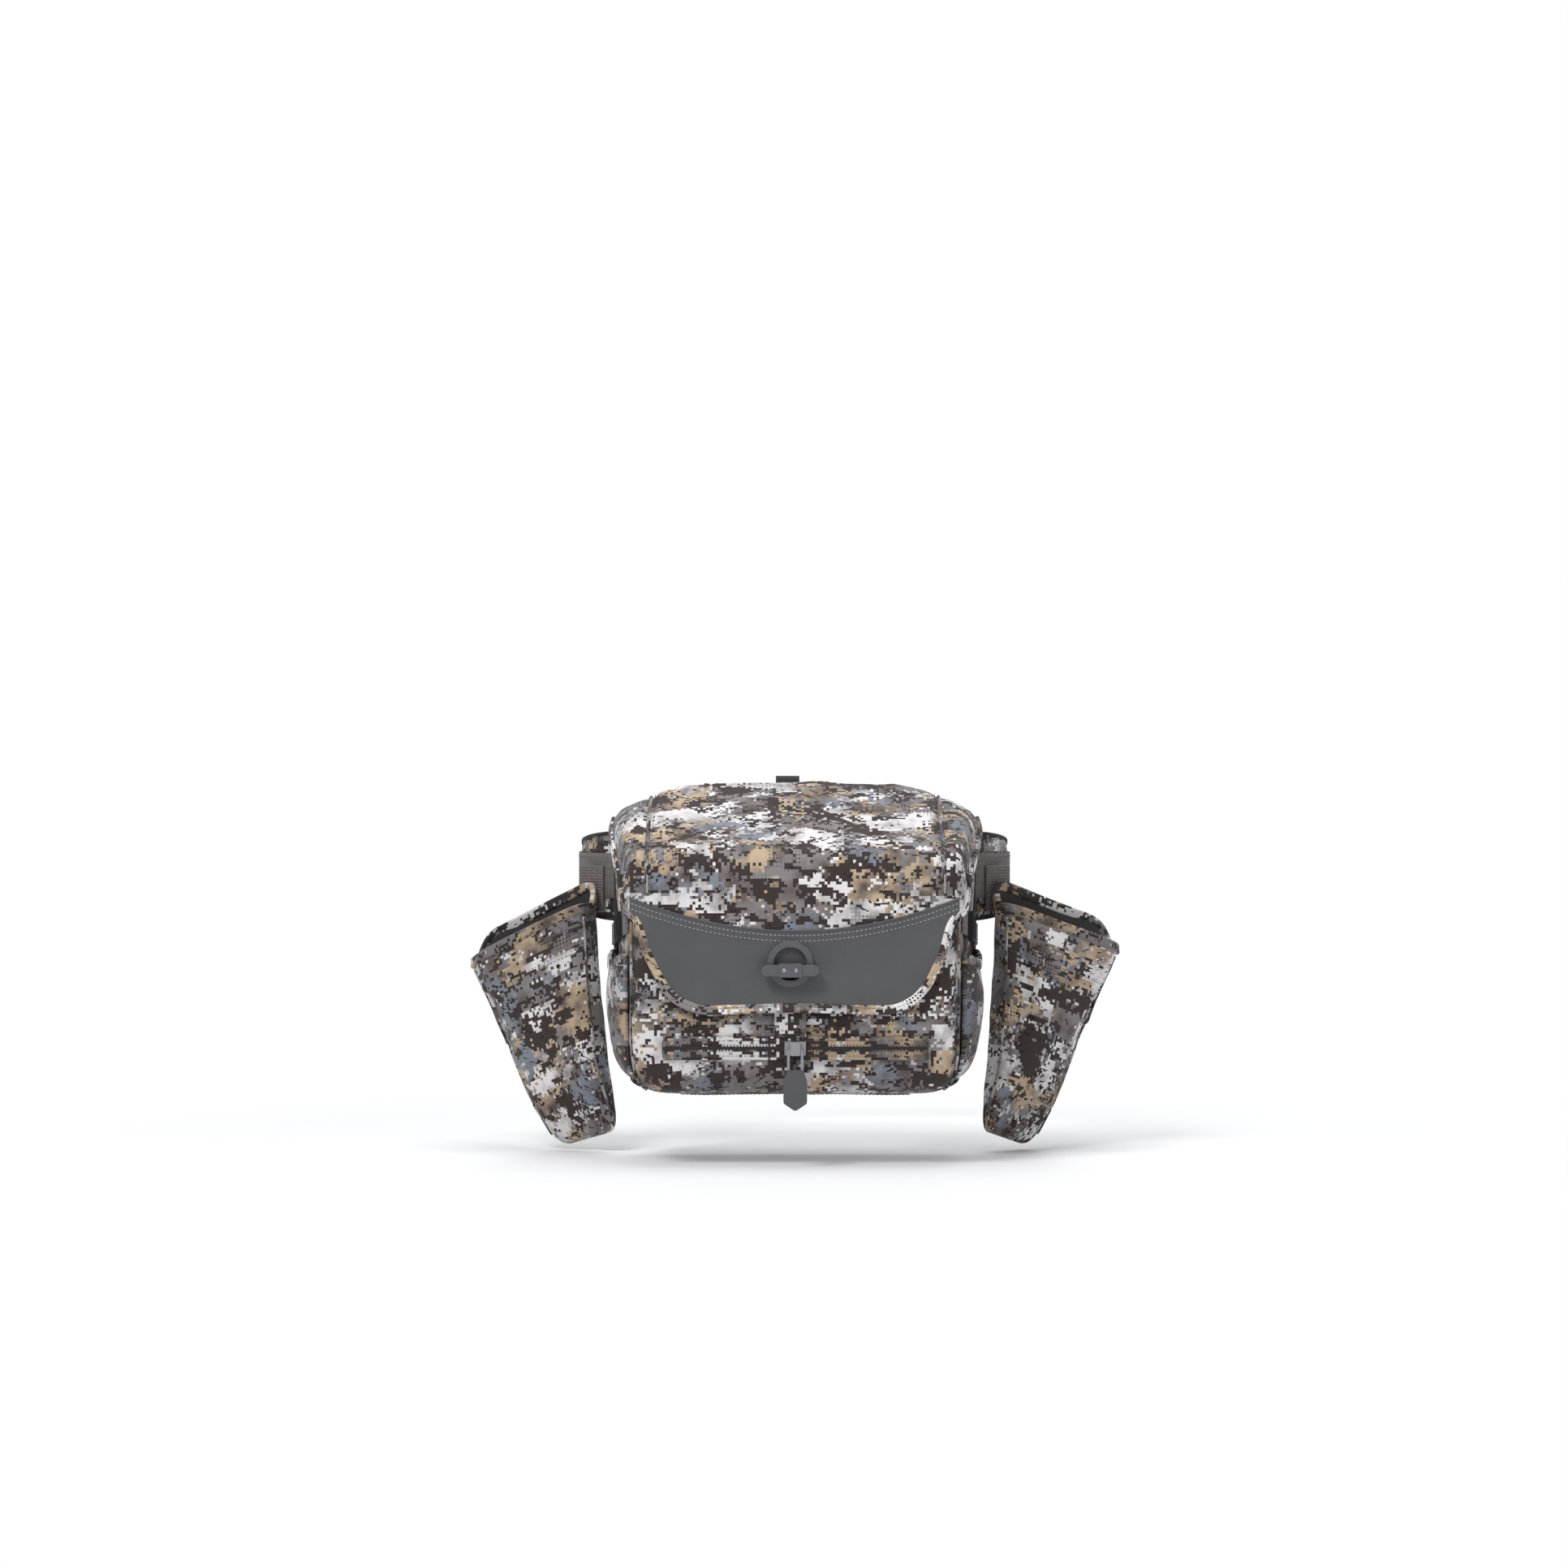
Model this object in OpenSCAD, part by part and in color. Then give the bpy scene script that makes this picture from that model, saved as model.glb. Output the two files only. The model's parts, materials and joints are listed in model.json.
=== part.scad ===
// Hunting waist pack: a padded bag with a hooded lid, a hip belt and two open pouches.
// Origin at the centre of the waist opening at the belt's mid-height.
// +X to the right seen from behind the wearer, +Y to the wearer's front, +Z up.

/* [Waist belt] */
// Half of the inside width of the belt
waist_half_w = 172; // [165:1:180]
// Inside distance from the waist's centre to the small of the back
waist_rear = 118; // [112:1:126]
// Inside distance from the waist's centre to the front webbing
waist_front = 112; // [104:1:122]
// Thickness of a padded belt wing
wing_t = 11; // [9:0.5:13]
// Half height of a wing where it leaves the bag
wing_half_h = 38; // [34:1:42]
// Half height of a wing at its front end
wing_tip_half_h = 24; // [22:1:27]
// How far in front of the waist's centre a wing ends
wing_front_y = 42; // [20:1:60]
// Width of the belt webbing
web_w = 38; // [30:1:42]
// Thickness of the belt webbing
web_t = 2; // [1.5:0.1:2.5]

/* [Bag] */
// Half width of the bag at its back
bag_rear_half_w = 150.5; // [147:0.5:154]
// Half width of the bag at its front
bag_front_half_w = 130.5; // [126:0.5:134]
// Depth of the bag from its back panel to its front
bag_depth = 126; // [118:1:134]
// Height of the lid's rear edge above the belt's middle
bag_top_z = 74.5; // [66:0.5:82]
// Depth of the bag's base below the belt's middle
bag_base_z = 175; // [168:1:184]
// How far the lid falls from its rear edge to its front edge
lid_fall = 57; // [48:1:62]
// Thickness of a padded fabric wall
wall = 3; // [2:0.25:3.5]
// Radius of the upright front corners
corner_r = 30; // [24:1:34]
// Distance from the bag's middle to the seam between centre and side panels
seam_x = 119; // [112:1:122]
// Thickness of the back panel
back_t = 6; // [4:0.5:8]
// Least thickness of the lumbar pads
pad_t = 8; // [6:0.5:10]
// Thickness of the stiffening sheet
sheet_t = 1.6; // [1:0.1:2.5]
// Depth of the front pocket
pocket_depth = 11; // [8:0.5:14]

/* [Lid and flap] */
// Thickness of the lid's shell
lid_t = 3; // [2.6:0.1:3.4]
// Half width of the front flap
flap_half_w = 133; // [128:1:134]
// Depth of the flap's lower edge below the belt's middle
flap_low_z = 106; // [98:1:110]
// Width of the binding round the flap
binding_w = 9; // [6:0.5:11]
// Thickness of the flap's laminated panel
panel_t = 1.2; // [0.8:0.1:1.4]
// Radius of the lid's rolled rear hem
hem_r = 2; // [1.6:0.1:2.4]

/* [Closure] */
// Outer radius of the closure ring
ring_r = 18.5; // [16:0.5:20]
// Inner radius of the closure ring
ring_hole_r = 13.5; // [12:0.25:14.5]
// Height that the ring stands off the flap
ring_h = 6; // [4:0.5:8]
// Length of the toggle bar
toggle_l = 46; // [38:1:52]
// Width of the toggle bar
toggle_w = 9; // [7:0.5:11]
// Radius of the toggle's stem
stem_r = 2.5; // [2:0.1:3.5]
// Width of the closure strap
closure_strap_w = 26; // [20:1:30]

/* [Front zip] */
// Length of the zip
zip_l = 214; // [180:2:220]
// Width of the slot that the zip closes
zip_slot_h = 10; // [9:0.5:12]
// Width of the coil
coil_w = 5; // [4:0.2:5.6]
// Length of the slider
slider_l = 17; // [14:0.5:20]
// Length of the pull tab
tab_l = 33; // [26:1:38]
// Width of the pull tab
tab_w = 19; // [16:0.5:22]

/* [Pouches] */
// Width of a pouch at its rim
pouch_w = 120; // [110:1:126]
// Inside to outside thickness of a pouch
pouch_t = 36; // [30:1:40]
// How far outward a pouch faces
pouch_turn = 35; // [32:1:38]
// How much higher the inner panel of a pouch reaches
pouch_back_rise = 22; // [14:1:24]
// Thickness of the pouch fabric
pouch_wall = 2.4; // [1.8:0.2:3]

/* [Side pockets and straps] */
// How far a side pocket bulges from the side panel
side_pocket_bulge = 13; // [8:0.5:15]
// Width of the side straps
side_strap_w = 18; // [15:1:22]

/* [Buckle] */
// Length of the buckle socket
socket_l = 34; // [32:1:40]
// Thickness of the buckle
buckle_t = 12; // [11:0.5:14]

/* [Hidden] */

// Clearance between pieces that are sewn or laid together
seam = 0.3;
// Gap between the lid and the bag inside it
lid_gap = 0.5;
// A length past any part of the model, for cutting blocks
far = 600;
// Sides of round pieces
round_fn = 48;
// Steps in each rounded corner of an outline
corner_steps = 6;
// Steps along each curved strip of the belt
belt_steps = 14;

// Squareness of the belt's curve behind and in front of the waist
rear_power = 3.4;
front_power = 2.4;

// Places across the bag's depth
panel_front_y = -(waist_rear + pad_t) - seam;
panel_rear_y = panel_front_y - back_t;
rear_y = panel_rear_y - seam;
front_y = rear_y - bag_depth;
hinge_y = panel_rear_y + back_t / 2;
lid_slope = lid_fall / (hinge_y - front_y);
slope_cos = 1 / sqrt(1 + lid_slope * lid_slope);
lid_out = lid_gap + lid_t;
hinge_z = bag_top_z + (lid_gap + lid_t / 2) / slope_cos;
back_top_z = hinge_z - hem_r - seam;
// The walls stop this far under the lid's inside
rim_drop = 4;
// The level where walls meet the base panel
base_seam_z = -bag_base_z + 9;
bottom_corner_r = 25;
top_corner_r = 22;
// Half width of the lid's flat top, and the fall of its shoulders
top_half_w = 97;
shoulder_fall = 12;
side_fall = 24;
base_half_w = 136;
side_low_z = -60;

// The flap's top edge is a shallow smile
smile_side_z = -14;
smile_sag = 27;
flap_waist_z = -58;
flap_waist_half_w = 124;
flap_foot_half_w = 90;
smile_steps = 16;
flap_base_t = lid_t - panel_t - seam;
flap_face_y = front_y - lid_out;

// Closure ring and toggle
ring_x = -4;
ring_z = -67;
toggle_drop = 5;
toggle_z = ring_z - toggle_drop;
toggle_t = 7;
plate_t = 1.2;
stem_clear = 0.06;
toggle_face_y = flap_face_y - seam - ring_h - 2 * seam;

// Front pocket's zip
zip_z = -135;
tape_t = 1;
coil_t = 2;
slider_h = 11;
slider_t = 6;
bridge_h = 3.4;
coil_face_y = front_y - coil_t + tape_t;
slider_rear_y = front_y - seam;
slider_front_y = slider_rear_y - slider_t;
// Half width of the bail's wire across its loop, and its depth
bail_r = 1.1;
bail_t = 1.6;
bail_drop = 20;
bail_half_w = 5.5;
pull_y = slider_front_y - bail_r - seam;
pull_z = zip_z - 1;
tab_t = 3;

// Pouches: outline corners across the panel from the rim's inner corner, and their levels
pouch_rim_z = -23;
pouch_foot_z = -212;
pouch_low_z = -226;
pouch_low_u = 40;
pouch_place_x = 150;
pouch_hinge_z = 8;
pouch_tab_w = 25;
pouch_tab_z = -30;
rim_h = 5;

// Buckle at the front of the belt
buckle_h = 46;
socket_wall = 2.6;
plug_l = 24;
prong_w = 4.5;
prong_base_x = -5;
prong_pivot_z = 13;
prong_reach = 26;
buckle_y = waist_front + wing_t + seam + web_t / 2;

// --- outlines ---------------------------------------------------------------

function unit(v) = v / norm(v);
function turned(v, a) = [v.x * cos(a) - v.y * sin(a), v.x * sin(a) + v.y * cos(a)];
function before(p, i) = p[(i + len(p) - 1) % len(p)];
function after(p, i) = p[(i + 1) % len(p)];
function out_normal(a, b) = unit([b.y - a.y, a.x - b.x]);

// A counter-clockwise outline moved outward by d, with mitred corners
function grown(p, d) = [
    for (i = [0:len(p) - 1])
        let (n1 = out_normal(before(p, i), p[i]), n2 = out_normal(p[i], after(p, i)))
        p[i] + (n1 + n2) * d / (1 + n1 * n2)
];

// A counter-clockwise outline with its convex corners rounded to the radii r
function rounded(p, r) = [
    for (i = [0:len(p) - 1])
        let (u = unit(before(p, i) - p[i]), v = unit(after(p, i) - p[i]),
             half = acos(u * v) / 2, centre = p[i] + unit(u + v) * r[i] / sin(half),
             start = p[i] + u * r[i] / tan(half) - centre)
        for (k = [0:(r[i] > 0 ? corner_steps : 0)])
            centre + turned(start, (180 - 2 * half) * k / corner_steps)
];

// Draws a flat outline along X, with its x and y laid on Y and Z
module along_x(x0, x1) translate([x0, 0, 0]) rotate([90, 0, 90]) linear_extrude(x1 - x0) children();
// Draws a flat outline along Y, with its x and y laid on X and Z
module along_y(y0, y1) translate([0, y1, 0]) rotate([90, 0, 0]) linear_extrude(y1 - y0) children();
// Draws a flat outline along Z
module along_z(z0, z1) translate([0, 0, z0]) linear_extrude(z1 - z0) children();
// A block between two corners
module block(low, high) translate(low) cube(high - low);
// Draws a right-hand piece on the side that is asked for
module on(side) mirror([side < 0 ? 1 : 0, 0, 0]) children();

// --- belt curve -------------------------------------------------------------

function belt_power(s) = abs(s) < 90 ? rear_power : front_power;
function belt_depth(s) = abs(s) < 90 ? waist_rear : waist_front;
// Point of the waist's curve at s degrees from the small of the back, moved out by d
function belt_pt(s, d) =
    let (e = 2 / belt_power(s), x = pow(abs(sin(s)), e), y = pow(abs(cos(s)), e),
         n = belt_normal(s))
    [waist_half_w * x, (abs(s) < 90 ? -1 : 1) * belt_depth(s) * y] + d * n;
function belt_normal(s) =
    let (p = belt_power(s), e = 2 * (p - 1) / p)
    unit([pow(abs(sin(s)), e) / waist_half_w,
          (abs(s) < 90 ? -1 : 1) * pow(abs(cos(s)), e) / belt_depth(s)]);
// Degrees along the rear or the front curve where it is x from the middle
function rear_s(x) = asin(pow(x / waist_half_w, rear_power / 2));
function front_s(x) = 180 - asin(pow(x / waist_half_w, front_power / 2));
function belt_run(s0, s1, d, steps) = [for (i = [0:steps]) belt_pt(s0 + (s1 - s0) * i / steps, d)];
function reversed(p) = [for (i = [len(p) - 1:-1:0]) p[i]];

// Puts a piece on the belt's curve, its x along the belt and its y outward
module at_belt(s, d) {
    p = belt_pt(s, d);
    n = belt_normal(s);
    translate([p.x, p.y, 0]) rotate(atan2(n.y, n.x) - 90) children();
}

// --- the bag's form ---------------------------------------------------------

function slope_z(y) = bag_top_z - (hinge_y - y) * lid_slope;
rear_over = 30;
over_half_w = bag_rear_half_w + rear_over * (bag_rear_half_w - bag_front_half_w) / bag_depth;

function plan_view(g) = rounded(grown([
    [-bag_front_half_w, front_y], [bag_front_half_w, front_y],
    [over_half_w, rear_y + rear_over], [-over_half_w, rear_y + rear_over]], g),
    [corner_r + g, corner_r + g, 0, 0]);
function front_view(g) = rounded(grown([
    [-base_half_w, -bag_base_z], [base_half_w, -bag_base_z],
    [bag_rear_half_w, side_low_z], [bag_rear_half_w, bag_top_z - side_fall],
    [seam_x, bag_top_z - shoulder_fall], [top_half_w, bag_top_z],
    [-top_half_w, bag_top_z], [-seam_x, bag_top_z - shoulder_fall],
    [-bag_rear_half_w, bag_top_z - side_fall], [-bag_rear_half_w, side_low_z]], g),
    [12, 12, 40, 8, 20, 20, 20, 20, 8, 40]);
function side_view(g) = rounded(grown([
    [front_y, -bag_base_z], [rear_y + rear_over, -bag_base_z],
    [rear_y + rear_over, slope_z(rear_y + rear_over)], [front_y, slope_z(front_y)]], g),
    [bottom_corner_r + g, 0, 0, top_corner_r + g]);

// The bag's rounded form, grown by g, from its front to past its rear plane
module form(g, past = 0) intersection() {
    along_z(-far, far) polygon(plan_view(g));
    along_y(front_y - corner_r, rear_y + past) polygon(front_view(g));
    along_x(-far, far) polygon(side_view(g));
}
module layer(g_out, g_in) difference() {
    form(g_out);
    form(g_in, 1);
}
module below_rim() along_x(-far, far) polygon([
    [front_y - far, -far], [rear_y + far, -far],
    [rear_y + far, slope_z(rear_y + far) - rim_drop],
    [front_y - far, slope_z(front_y - far) - rim_drop]]);

module side_panel(side) color("#6b6660") on(side) intersection() {
    layer(0, -wall);
    block([seam_x + seam / 2, -far, base_seam_z], [far, 0, far]);
    below_rim();
}
module front_pocket() color("#746d66") difference() {
    intersection() {
        layer(0, -wall);
        block([-seam_x + seam / 2, -far, base_seam_z], [seam_x - seam / 2, front_y + corner_r / 2, far]);
        below_rim();
    }
    block([-zip_l / 2, -far, zip_z - zip_slot_h / 2], [zip_l / 2, 0, zip_z + zip_slot_h / 2]);
}
module base_panel() color("#5d5852") intersection() {
    layer(0, -wall);
    block([-far, -far, -far], [far, 0, base_seam_z - seam]);
}
module front_panel() color("#4a4743") intersection() {
    form(-wall - seam);
    below_rim();
    union() {
        block([-far, front_y + wall + pocket_depth, -far], [far, front_y + 2 * wall + pocket_depth, far]);
        block([-far, -far, slope_z(front_y) - rim_drop - top_corner_r],
              [far, front_y + 2 * wall + pocket_depth, slope_z(front_y) - rim_drop - top_corner_r + wall]);
    }
}
module back_panel() color("#3d3b39") intersection() {
    along_y(panel_rear_y, panel_front_y) polygon(front_view(0));
    along_x(-far, far) polygon([
        [rear_y - wall, -far], [0, -far], [0, back_top_z], [hinge_y, back_top_z],
        [rear_y - wall, slope_z(rear_y - wall)]]);
}
module frame_sheet() color("#222222") intersection() {
    form(-wall - seam);
    below_rim();
    block([-far, rear_y - sheet_t, -far], [far, rear_y, far]);
}

// --- inside the waist -------------------------------------------------------

pad_inner_x = 6;
pad_outer_x = 98;
pad_low_z = -95;
pad_high_z = 45;
module lumbar_pad(side) color("#2f2e2d") on(side) intersection() {
    along_z(-far, far) polygon(concat(
        belt_run(rear_s(pad_inner_x), rear_s(pad_outer_x), 0, belt_steps),
        [[pad_outer_x, panel_front_y + seam], [pad_inner_x, panel_front_y + seam]]));
    along_y(-far, 0) polygon(rounded([
        [pad_inner_x, pad_low_z], [pad_outer_x, pad_low_z], [pad_outer_x, pad_high_z],
        [pad_inner_x, pad_high_z]], [14, 22, 22, 14]));
}

wing_root_x = pad_outer_x + seam;
wing_leave_x = 126;
wing_free_x = pouch_place_x - 9;
module hip_wing(side) color("#57524d") on(side) intersection() {
    along_z(-wing_half_h, wing_half_h) polygon(concat(
        belt_run(rear_s(wing_root_x), 89.9, 0, belt_steps), belt_run(90.1, 125, 0, belt_steps),
        reversed(belt_run(90.1, 125, wing_t, belt_steps)),
        reversed(belt_run(rear_s(wing_free_x), 89.9, wing_t, belt_steps)),
        [[wing_leave_x, panel_front_y + seam], [wing_root_x, panel_front_y + seam]]));
    along_x(0, far) polygon(rounded([
        [-far, -wing_half_h], [-waist_rear / 2, -wing_half_h], [wing_front_y, -wing_tip_half_h],
        [wing_front_y, wing_tip_half_h], [-waist_rear / 2, wing_half_h], [-far, wing_half_h]],
        [0, 30, 16, 16, 30, 0]));
}

web_end_x = socket_l;
web_in = wing_t + seam;
module belt_web(side) color("#6a6260") on(side)
    along_z(-web_w / 2, web_w / 2) polygon(concat(
        belt_run(rear_s(pouch_place_x - 8), 89.9, web_in, belt_steps),
        belt_run(90.1, front_s(web_end_x), web_in, 2 * belt_steps),
        reversed(belt_run(90.1, front_s(web_end_x), web_in + web_t, 2 * belt_steps)),
        reversed(belt_run(rear_s(pouch_place_x - 8), 89.9, web_in + web_t, belt_steps))));

glide_x = 66;
glide_l = 16;
glide_bar = 3;
glide_side_t = 3;
glide_end_h = 4;
glide_slack_t = 0.9;
glide_slack_h = 0.8;
module web_glide(side) color("#55555a") on(side)
    at_belt(front_s(glide_x), web_in + web_t / 2) difference() {
        block([-glide_l / 2, -web_t / 2 - glide_side_t, -web_w / 2 - glide_end_h],
              [glide_l / 2, web_t / 2 + glide_side_t, web_w / 2 + glide_end_h]);
        block([-far, -web_t / 2 - glide_slack_t, -web_w / 2 - glide_slack_h],
              [far, web_t / 2 + glide_slack_t, web_w / 2 + glide_slack_h]);
        for (x = [-1, 1])
            translate([x * (glide_l / 4), 0, 0])
                block([-glide_l / 4 + glide_bar / 2, -far, -web_w / 2 - glide_slack_h],
                      [glide_l / 4 - glide_bar / 2, 0, web_w / 2 + glide_slack_h]);
    }

loop_x = -6;
loop_w = 20;
loop_r = 8.5;
loop_t = 2;
loop_y = panel_front_y + seam + loop_r;
loop_z = bag_top_z + 1;
module hang_loop() color("#1c1c1c")
    translate([loop_x - loop_w / 2, 0, 0]) rotate([90, 0, 90]) linear_extrude(loop_w) {
        difference() {
            translate([loop_y, loop_z]) circle(r = loop_r, $fn = round_fn);
            translate([loop_y, loop_z]) circle(r = loop_r - loop_t, $fn = round_fn);
        }
        translate([loop_y - loop_r, pad_high_z + 3]) square([loop_t, loop_z - pad_high_z - 3]);
    }

// --- side pockets and straps ------------------------------------------------

side_turn = atan((bag_rear_half_w - bag_front_half_w) / bag_depth);
// Lays a piece on the right side panel: x to the rear, y up, z outward, from the rear corner
module on_side() translate([bag_rear_half_w, rear_y, 0]) rotate([90, 0, 90 - side_turn]) children();

pocket_rear_in = 10;
pocket_front_in = 22;
pocket_low_z = -162;
pocket_high_z = -62;
module side_pocket(side) color("#3a3735") on(side) difference() {
    intersection() {
        form(side_pocket_bulge);
        block([bag_front_half_w / 2, front_y + pocket_front_in, pocket_low_z],
              [far, rear_y - pocket_rear_in, pocket_high_z]);
    }
    form(seam, far);
    intersection() {
        form(side_pocket_bulge - pouch_wall);
        block([0, front_y + pocket_front_in + pouch_wall, pocket_low_z + pouch_wall],
              [far, rear_y - pocket_rear_in - pouch_wall, far]);
    }
}

strap_front = 108;
strap_rear = 4;
strap_front_z = -34;
strap_rear_z = -48;
strap_t = 1.8;
lock_l = 22;
lock_at = 62;
strap_tilt = atan((strap_front_z - strap_rear_z) / (strap_front - strap_rear));
module on_strap() on_side() translate([-strap_rear, strap_rear_z, seam]) rotate(-strap_tilt) children();
module side_strap(side) color("#6a6260") on(side) on_strap()
    block([-(strap_front - strap_rear), -side_strap_w / 2, 0], [0, side_strap_w / 2, strap_t]);
module side_lock(side) color("#55555a") on(side) on_strap() translate([-lock_at, 0, strap_t + seam])
    difference() {
        block([-lock_l / 2, -side_strap_w / 2 - 3, 0], [lock_l / 2, side_strap_w / 2 + 3, 4]);
        for (x = [-1, 1])
            translate([x * lock_l / 4, 0, 0])
                block([-lock_l / 4 + 2.6, -side_strap_w / 2, -1], [lock_l / 4 - 2, side_strap_w / 2, 5]);
    }

// --- lid --------------------------------------------------------------------

function smile_z(x) = smile_side_z - smile_sag * (1 - pow(min(abs(x) / flap_half_w, 1), 2));
smile_run = [for (i = [0:smile_steps]) let (x = flap_half_w * (2 * i / smile_steps - 1)) [x, smile_z(x)]];
module above_smile() along_y(-far, 0) translate([0, seam / 2]) polygon(concat(
    [[-far, far], [-far, smile_side_z]], smile_run, [[far, smile_side_z], [far, far]]));
module below_smile() along_y(-far, 0) translate([0, -seam / 2]) polygon(concat(
    [[far, -far], [far, smile_side_z]], reversed(smile_run), [[-far, smile_side_z], [-far, -far]]));
function flap_outline(g) = rounded(grown([
    [-flap_foot_half_w, -flap_low_z], [flap_foot_half_w, -flap_low_z],
    [flap_waist_half_w, flap_waist_z], [flap_half_w, 0], [-flap_half_w, 0],
    [-flap_waist_half_w, flap_waist_z]], g), [14, 14, 20, 0, 0, 20]);
module within_flap(g) along_y(-far, front_y + corner_r) polygon(flap_outline(g));

hem_half_w = top_half_w - 4;
module lid_top() color("#7d766e") {
    intersection() {
        layer(lid_out, lid_gap);
        block([-seam_x + seam / 2, -far, -far], [seam_x - seam / 2, 0, far]);
        above_smile();
    }
    translate([-hem_half_w, hinge_y, hinge_z]) rotate([0, 90, 0])
        cylinder(h = 2 * hem_half_w, r = hem_r, $fn = round_fn);
    intersection() {
        along_x(-hem_half_w, hem_half_w) polygon(side_view(lid_out));
        difference() {
            block([-hem_half_w, rear_y - 1, 0], [hem_half_w, hinge_y, far]);
            along_x(-far, far) polygon(side_view(lid_gap));
        }
    }
}
gusset_rear_z = 44;
gusset_front_y = front_y + corner_r;
module lid_gusset(side) color("#6f6962") on(side) intersection() {
    layer(lid_out, lid_gap);
    block([seam_x + seam / 2, -far, -far], [far, 0, far]);
    above_smile();
    along_x(0, far) polygon([
        [-far, -far], [gusset_front_y, smile_side_z], [rear_y, gusset_rear_z], [0, gusset_rear_z],
        [0, far], [-far, far]]);
}
module lid_flap() color("#625c56") intersection() {
    layer(lid_gap + flap_base_t, lid_gap);
    below_smile();
    within_flap(0);
}
module flap_face() intersection() {
    layer(lid_out, lid_out - panel_t);
    below_smile();
    children();
}
module flap_panel() color("#545456") flap_face() within_flap(-binding_w);
module flap_binding() color("#8a837b") flap_face() difference() {
    within_flap(0);
    within_flap(-binding_w + seam);
}
module at_ring(y, z) translate([ring_x, y, z]) rotate([90, 0, 0]) children();
module closure_ring() color("#5a5a5e") at_ring(flap_face_y - seam, ring_z) difference() {
    cylinder(h = ring_h, r = ring_r, $fn = round_fn);
    translate([0, 0, -1]) cylinder(h = ring_h + 2, r = ring_hole_r, $fn = round_fn);
}
module ring_plate() color("#161616") difference() {
    at_ring(flap_face_y - seam, ring_z) cylinder(h = plate_t, r = ring_hole_r - seam, $fn = round_fn);
    at_ring(flap_face_y + 1, toggle_z) cylinder(h = plate_t + 3, r = stem_r + stem_clear, $fn = round_fn);
}
module toggle_stem() color("#5a5a5e") at_ring(flap_face_y - seam, toggle_z)
    cylinder(h = flap_face_y - seam - toggle_face_y, r = stem_r, $fn = round_fn);
module toggle_bar() color("#66666a") at_ring(toggle_face_y, toggle_z) {
    for (x = [-1, 1])
        translate([x * (toggle_l - toggle_w) / 2, 0, 0]) cylinder(h = toggle_t - 1, r = toggle_w / 2, $fn = round_fn);
    block([-(toggle_l - toggle_w) / 2, -toggle_w / 2, 0], [(toggle_l - toggle_w) / 2, toggle_w / 2, toggle_t - 1]);
    block([-toggle_l / 5, -toggle_w / 2 - 1, 0], [toggle_l / 5, toggle_w / 2 + 1, toggle_t]);
}

// --- front zip --------------------------------------------------------------

module closure_strap() color("#7d766e")
    block([ring_x - closure_strap_w / 2, front_y - seam - strap_t, zip_z + slider_h / 2 + 1.5],
          [ring_x + closure_strap_w / 2, front_y - seam, -flap_low_z - 1.5]);
module pocket_zip() color("#2b2b2b") {
    block([-zip_l / 2 + seam, front_y, zip_z - zip_slot_h / 2 + seam],
          [zip_l / 2 - seam, front_y + tape_t, zip_z + zip_slot_h / 2 - seam]);
    block([-zip_l / 2 + seam, coil_face_y, zip_z - coil_w / 2],
          [zip_l / 2 - seam, front_y + tape_t / 2, zip_z + coil_w / 2]);
}
module zip_slider() color("#77777a") difference() {
    union() {
        block([-slider_l / 2, slider_front_y + bridge_h, zip_z - slider_h / 2],
              [slider_l / 2, slider_rear_y, zip_z + slider_h / 2]);
        block([-bail_half_w + bail_r + 2 * seam, slider_front_y - 2 * bail_r - 2, zip_z - 1 + bail_r + seam],
              [bail_half_w - bail_r - 2 * seam, slider_rear_y, zip_z + slider_h / 2]);
        block([-bail_half_w + bail_r + 2 * seam, slider_front_y - 2 * bail_r - 2, zip_z - slider_h / 2],
              [bail_half_w - bail_r - 2 * seam, slider_front_y - 2 * bail_r - 2 * seam, zip_z + slider_h / 2]);
    }
    block([-far, coil_face_y - seam, zip_z - coil_w / 2 - seam], [far, 0, zip_z + coil_w / 2 + seam]);
}
function bail_outline(g) = rounded([
    [-bail_half_w - g, pull_z - bail_drop - g], [bail_half_w + g, pull_z - bail_drop - g],
    [bail_half_w + g, pull_z + g], [-bail_half_w - g, pull_z + g]],
    [2 + g, 2 + g, 2 + g, 2 + g]);
module pull_bail() color("#8c8c90") along_y(pull_y - bail_t / 2, pull_y + bail_t / 2) difference() {
    polygon(bail_outline(bail_r));
    polygon(bail_outline(-bail_r));
}
tab_top_z = pull_z - bail_drop + 4;
module pull_tab() color("#5b5b5f") difference() {
    along_y(pull_y - tab_t / 2 - 0.6, pull_y + tab_t / 2 + 0.6) polygon(rounded([
        [0, tab_top_z - tab_l], [tab_w / 2, tab_top_z - tab_l + tab_w / 3], [tab_w / 2, tab_top_z - 9],
        [tab_w / 3, tab_top_z], [-tab_w / 3, tab_top_z], [-tab_w / 2, tab_top_z - 9],
        [-tab_w / 2, tab_top_z - tab_l + tab_w / 3]], [3, 3, 3, 2, 2, 3, 3]));
    translate([-far, pull_y, pull_z - bail_drop]) rotate([0, 90, 0]) cylinder(h = 2 * far, r = bail_r + seam, $fn = round_fn);
    for (x = [-1, 1])
        translate([x * bail_half_w, pull_y, pull_z - bail_drop])
            cylinder(h = bail_drop, r = bail_r + seam, $fn = round_fn);
}

// --- pouches ----------------------------------------------------------------

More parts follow.
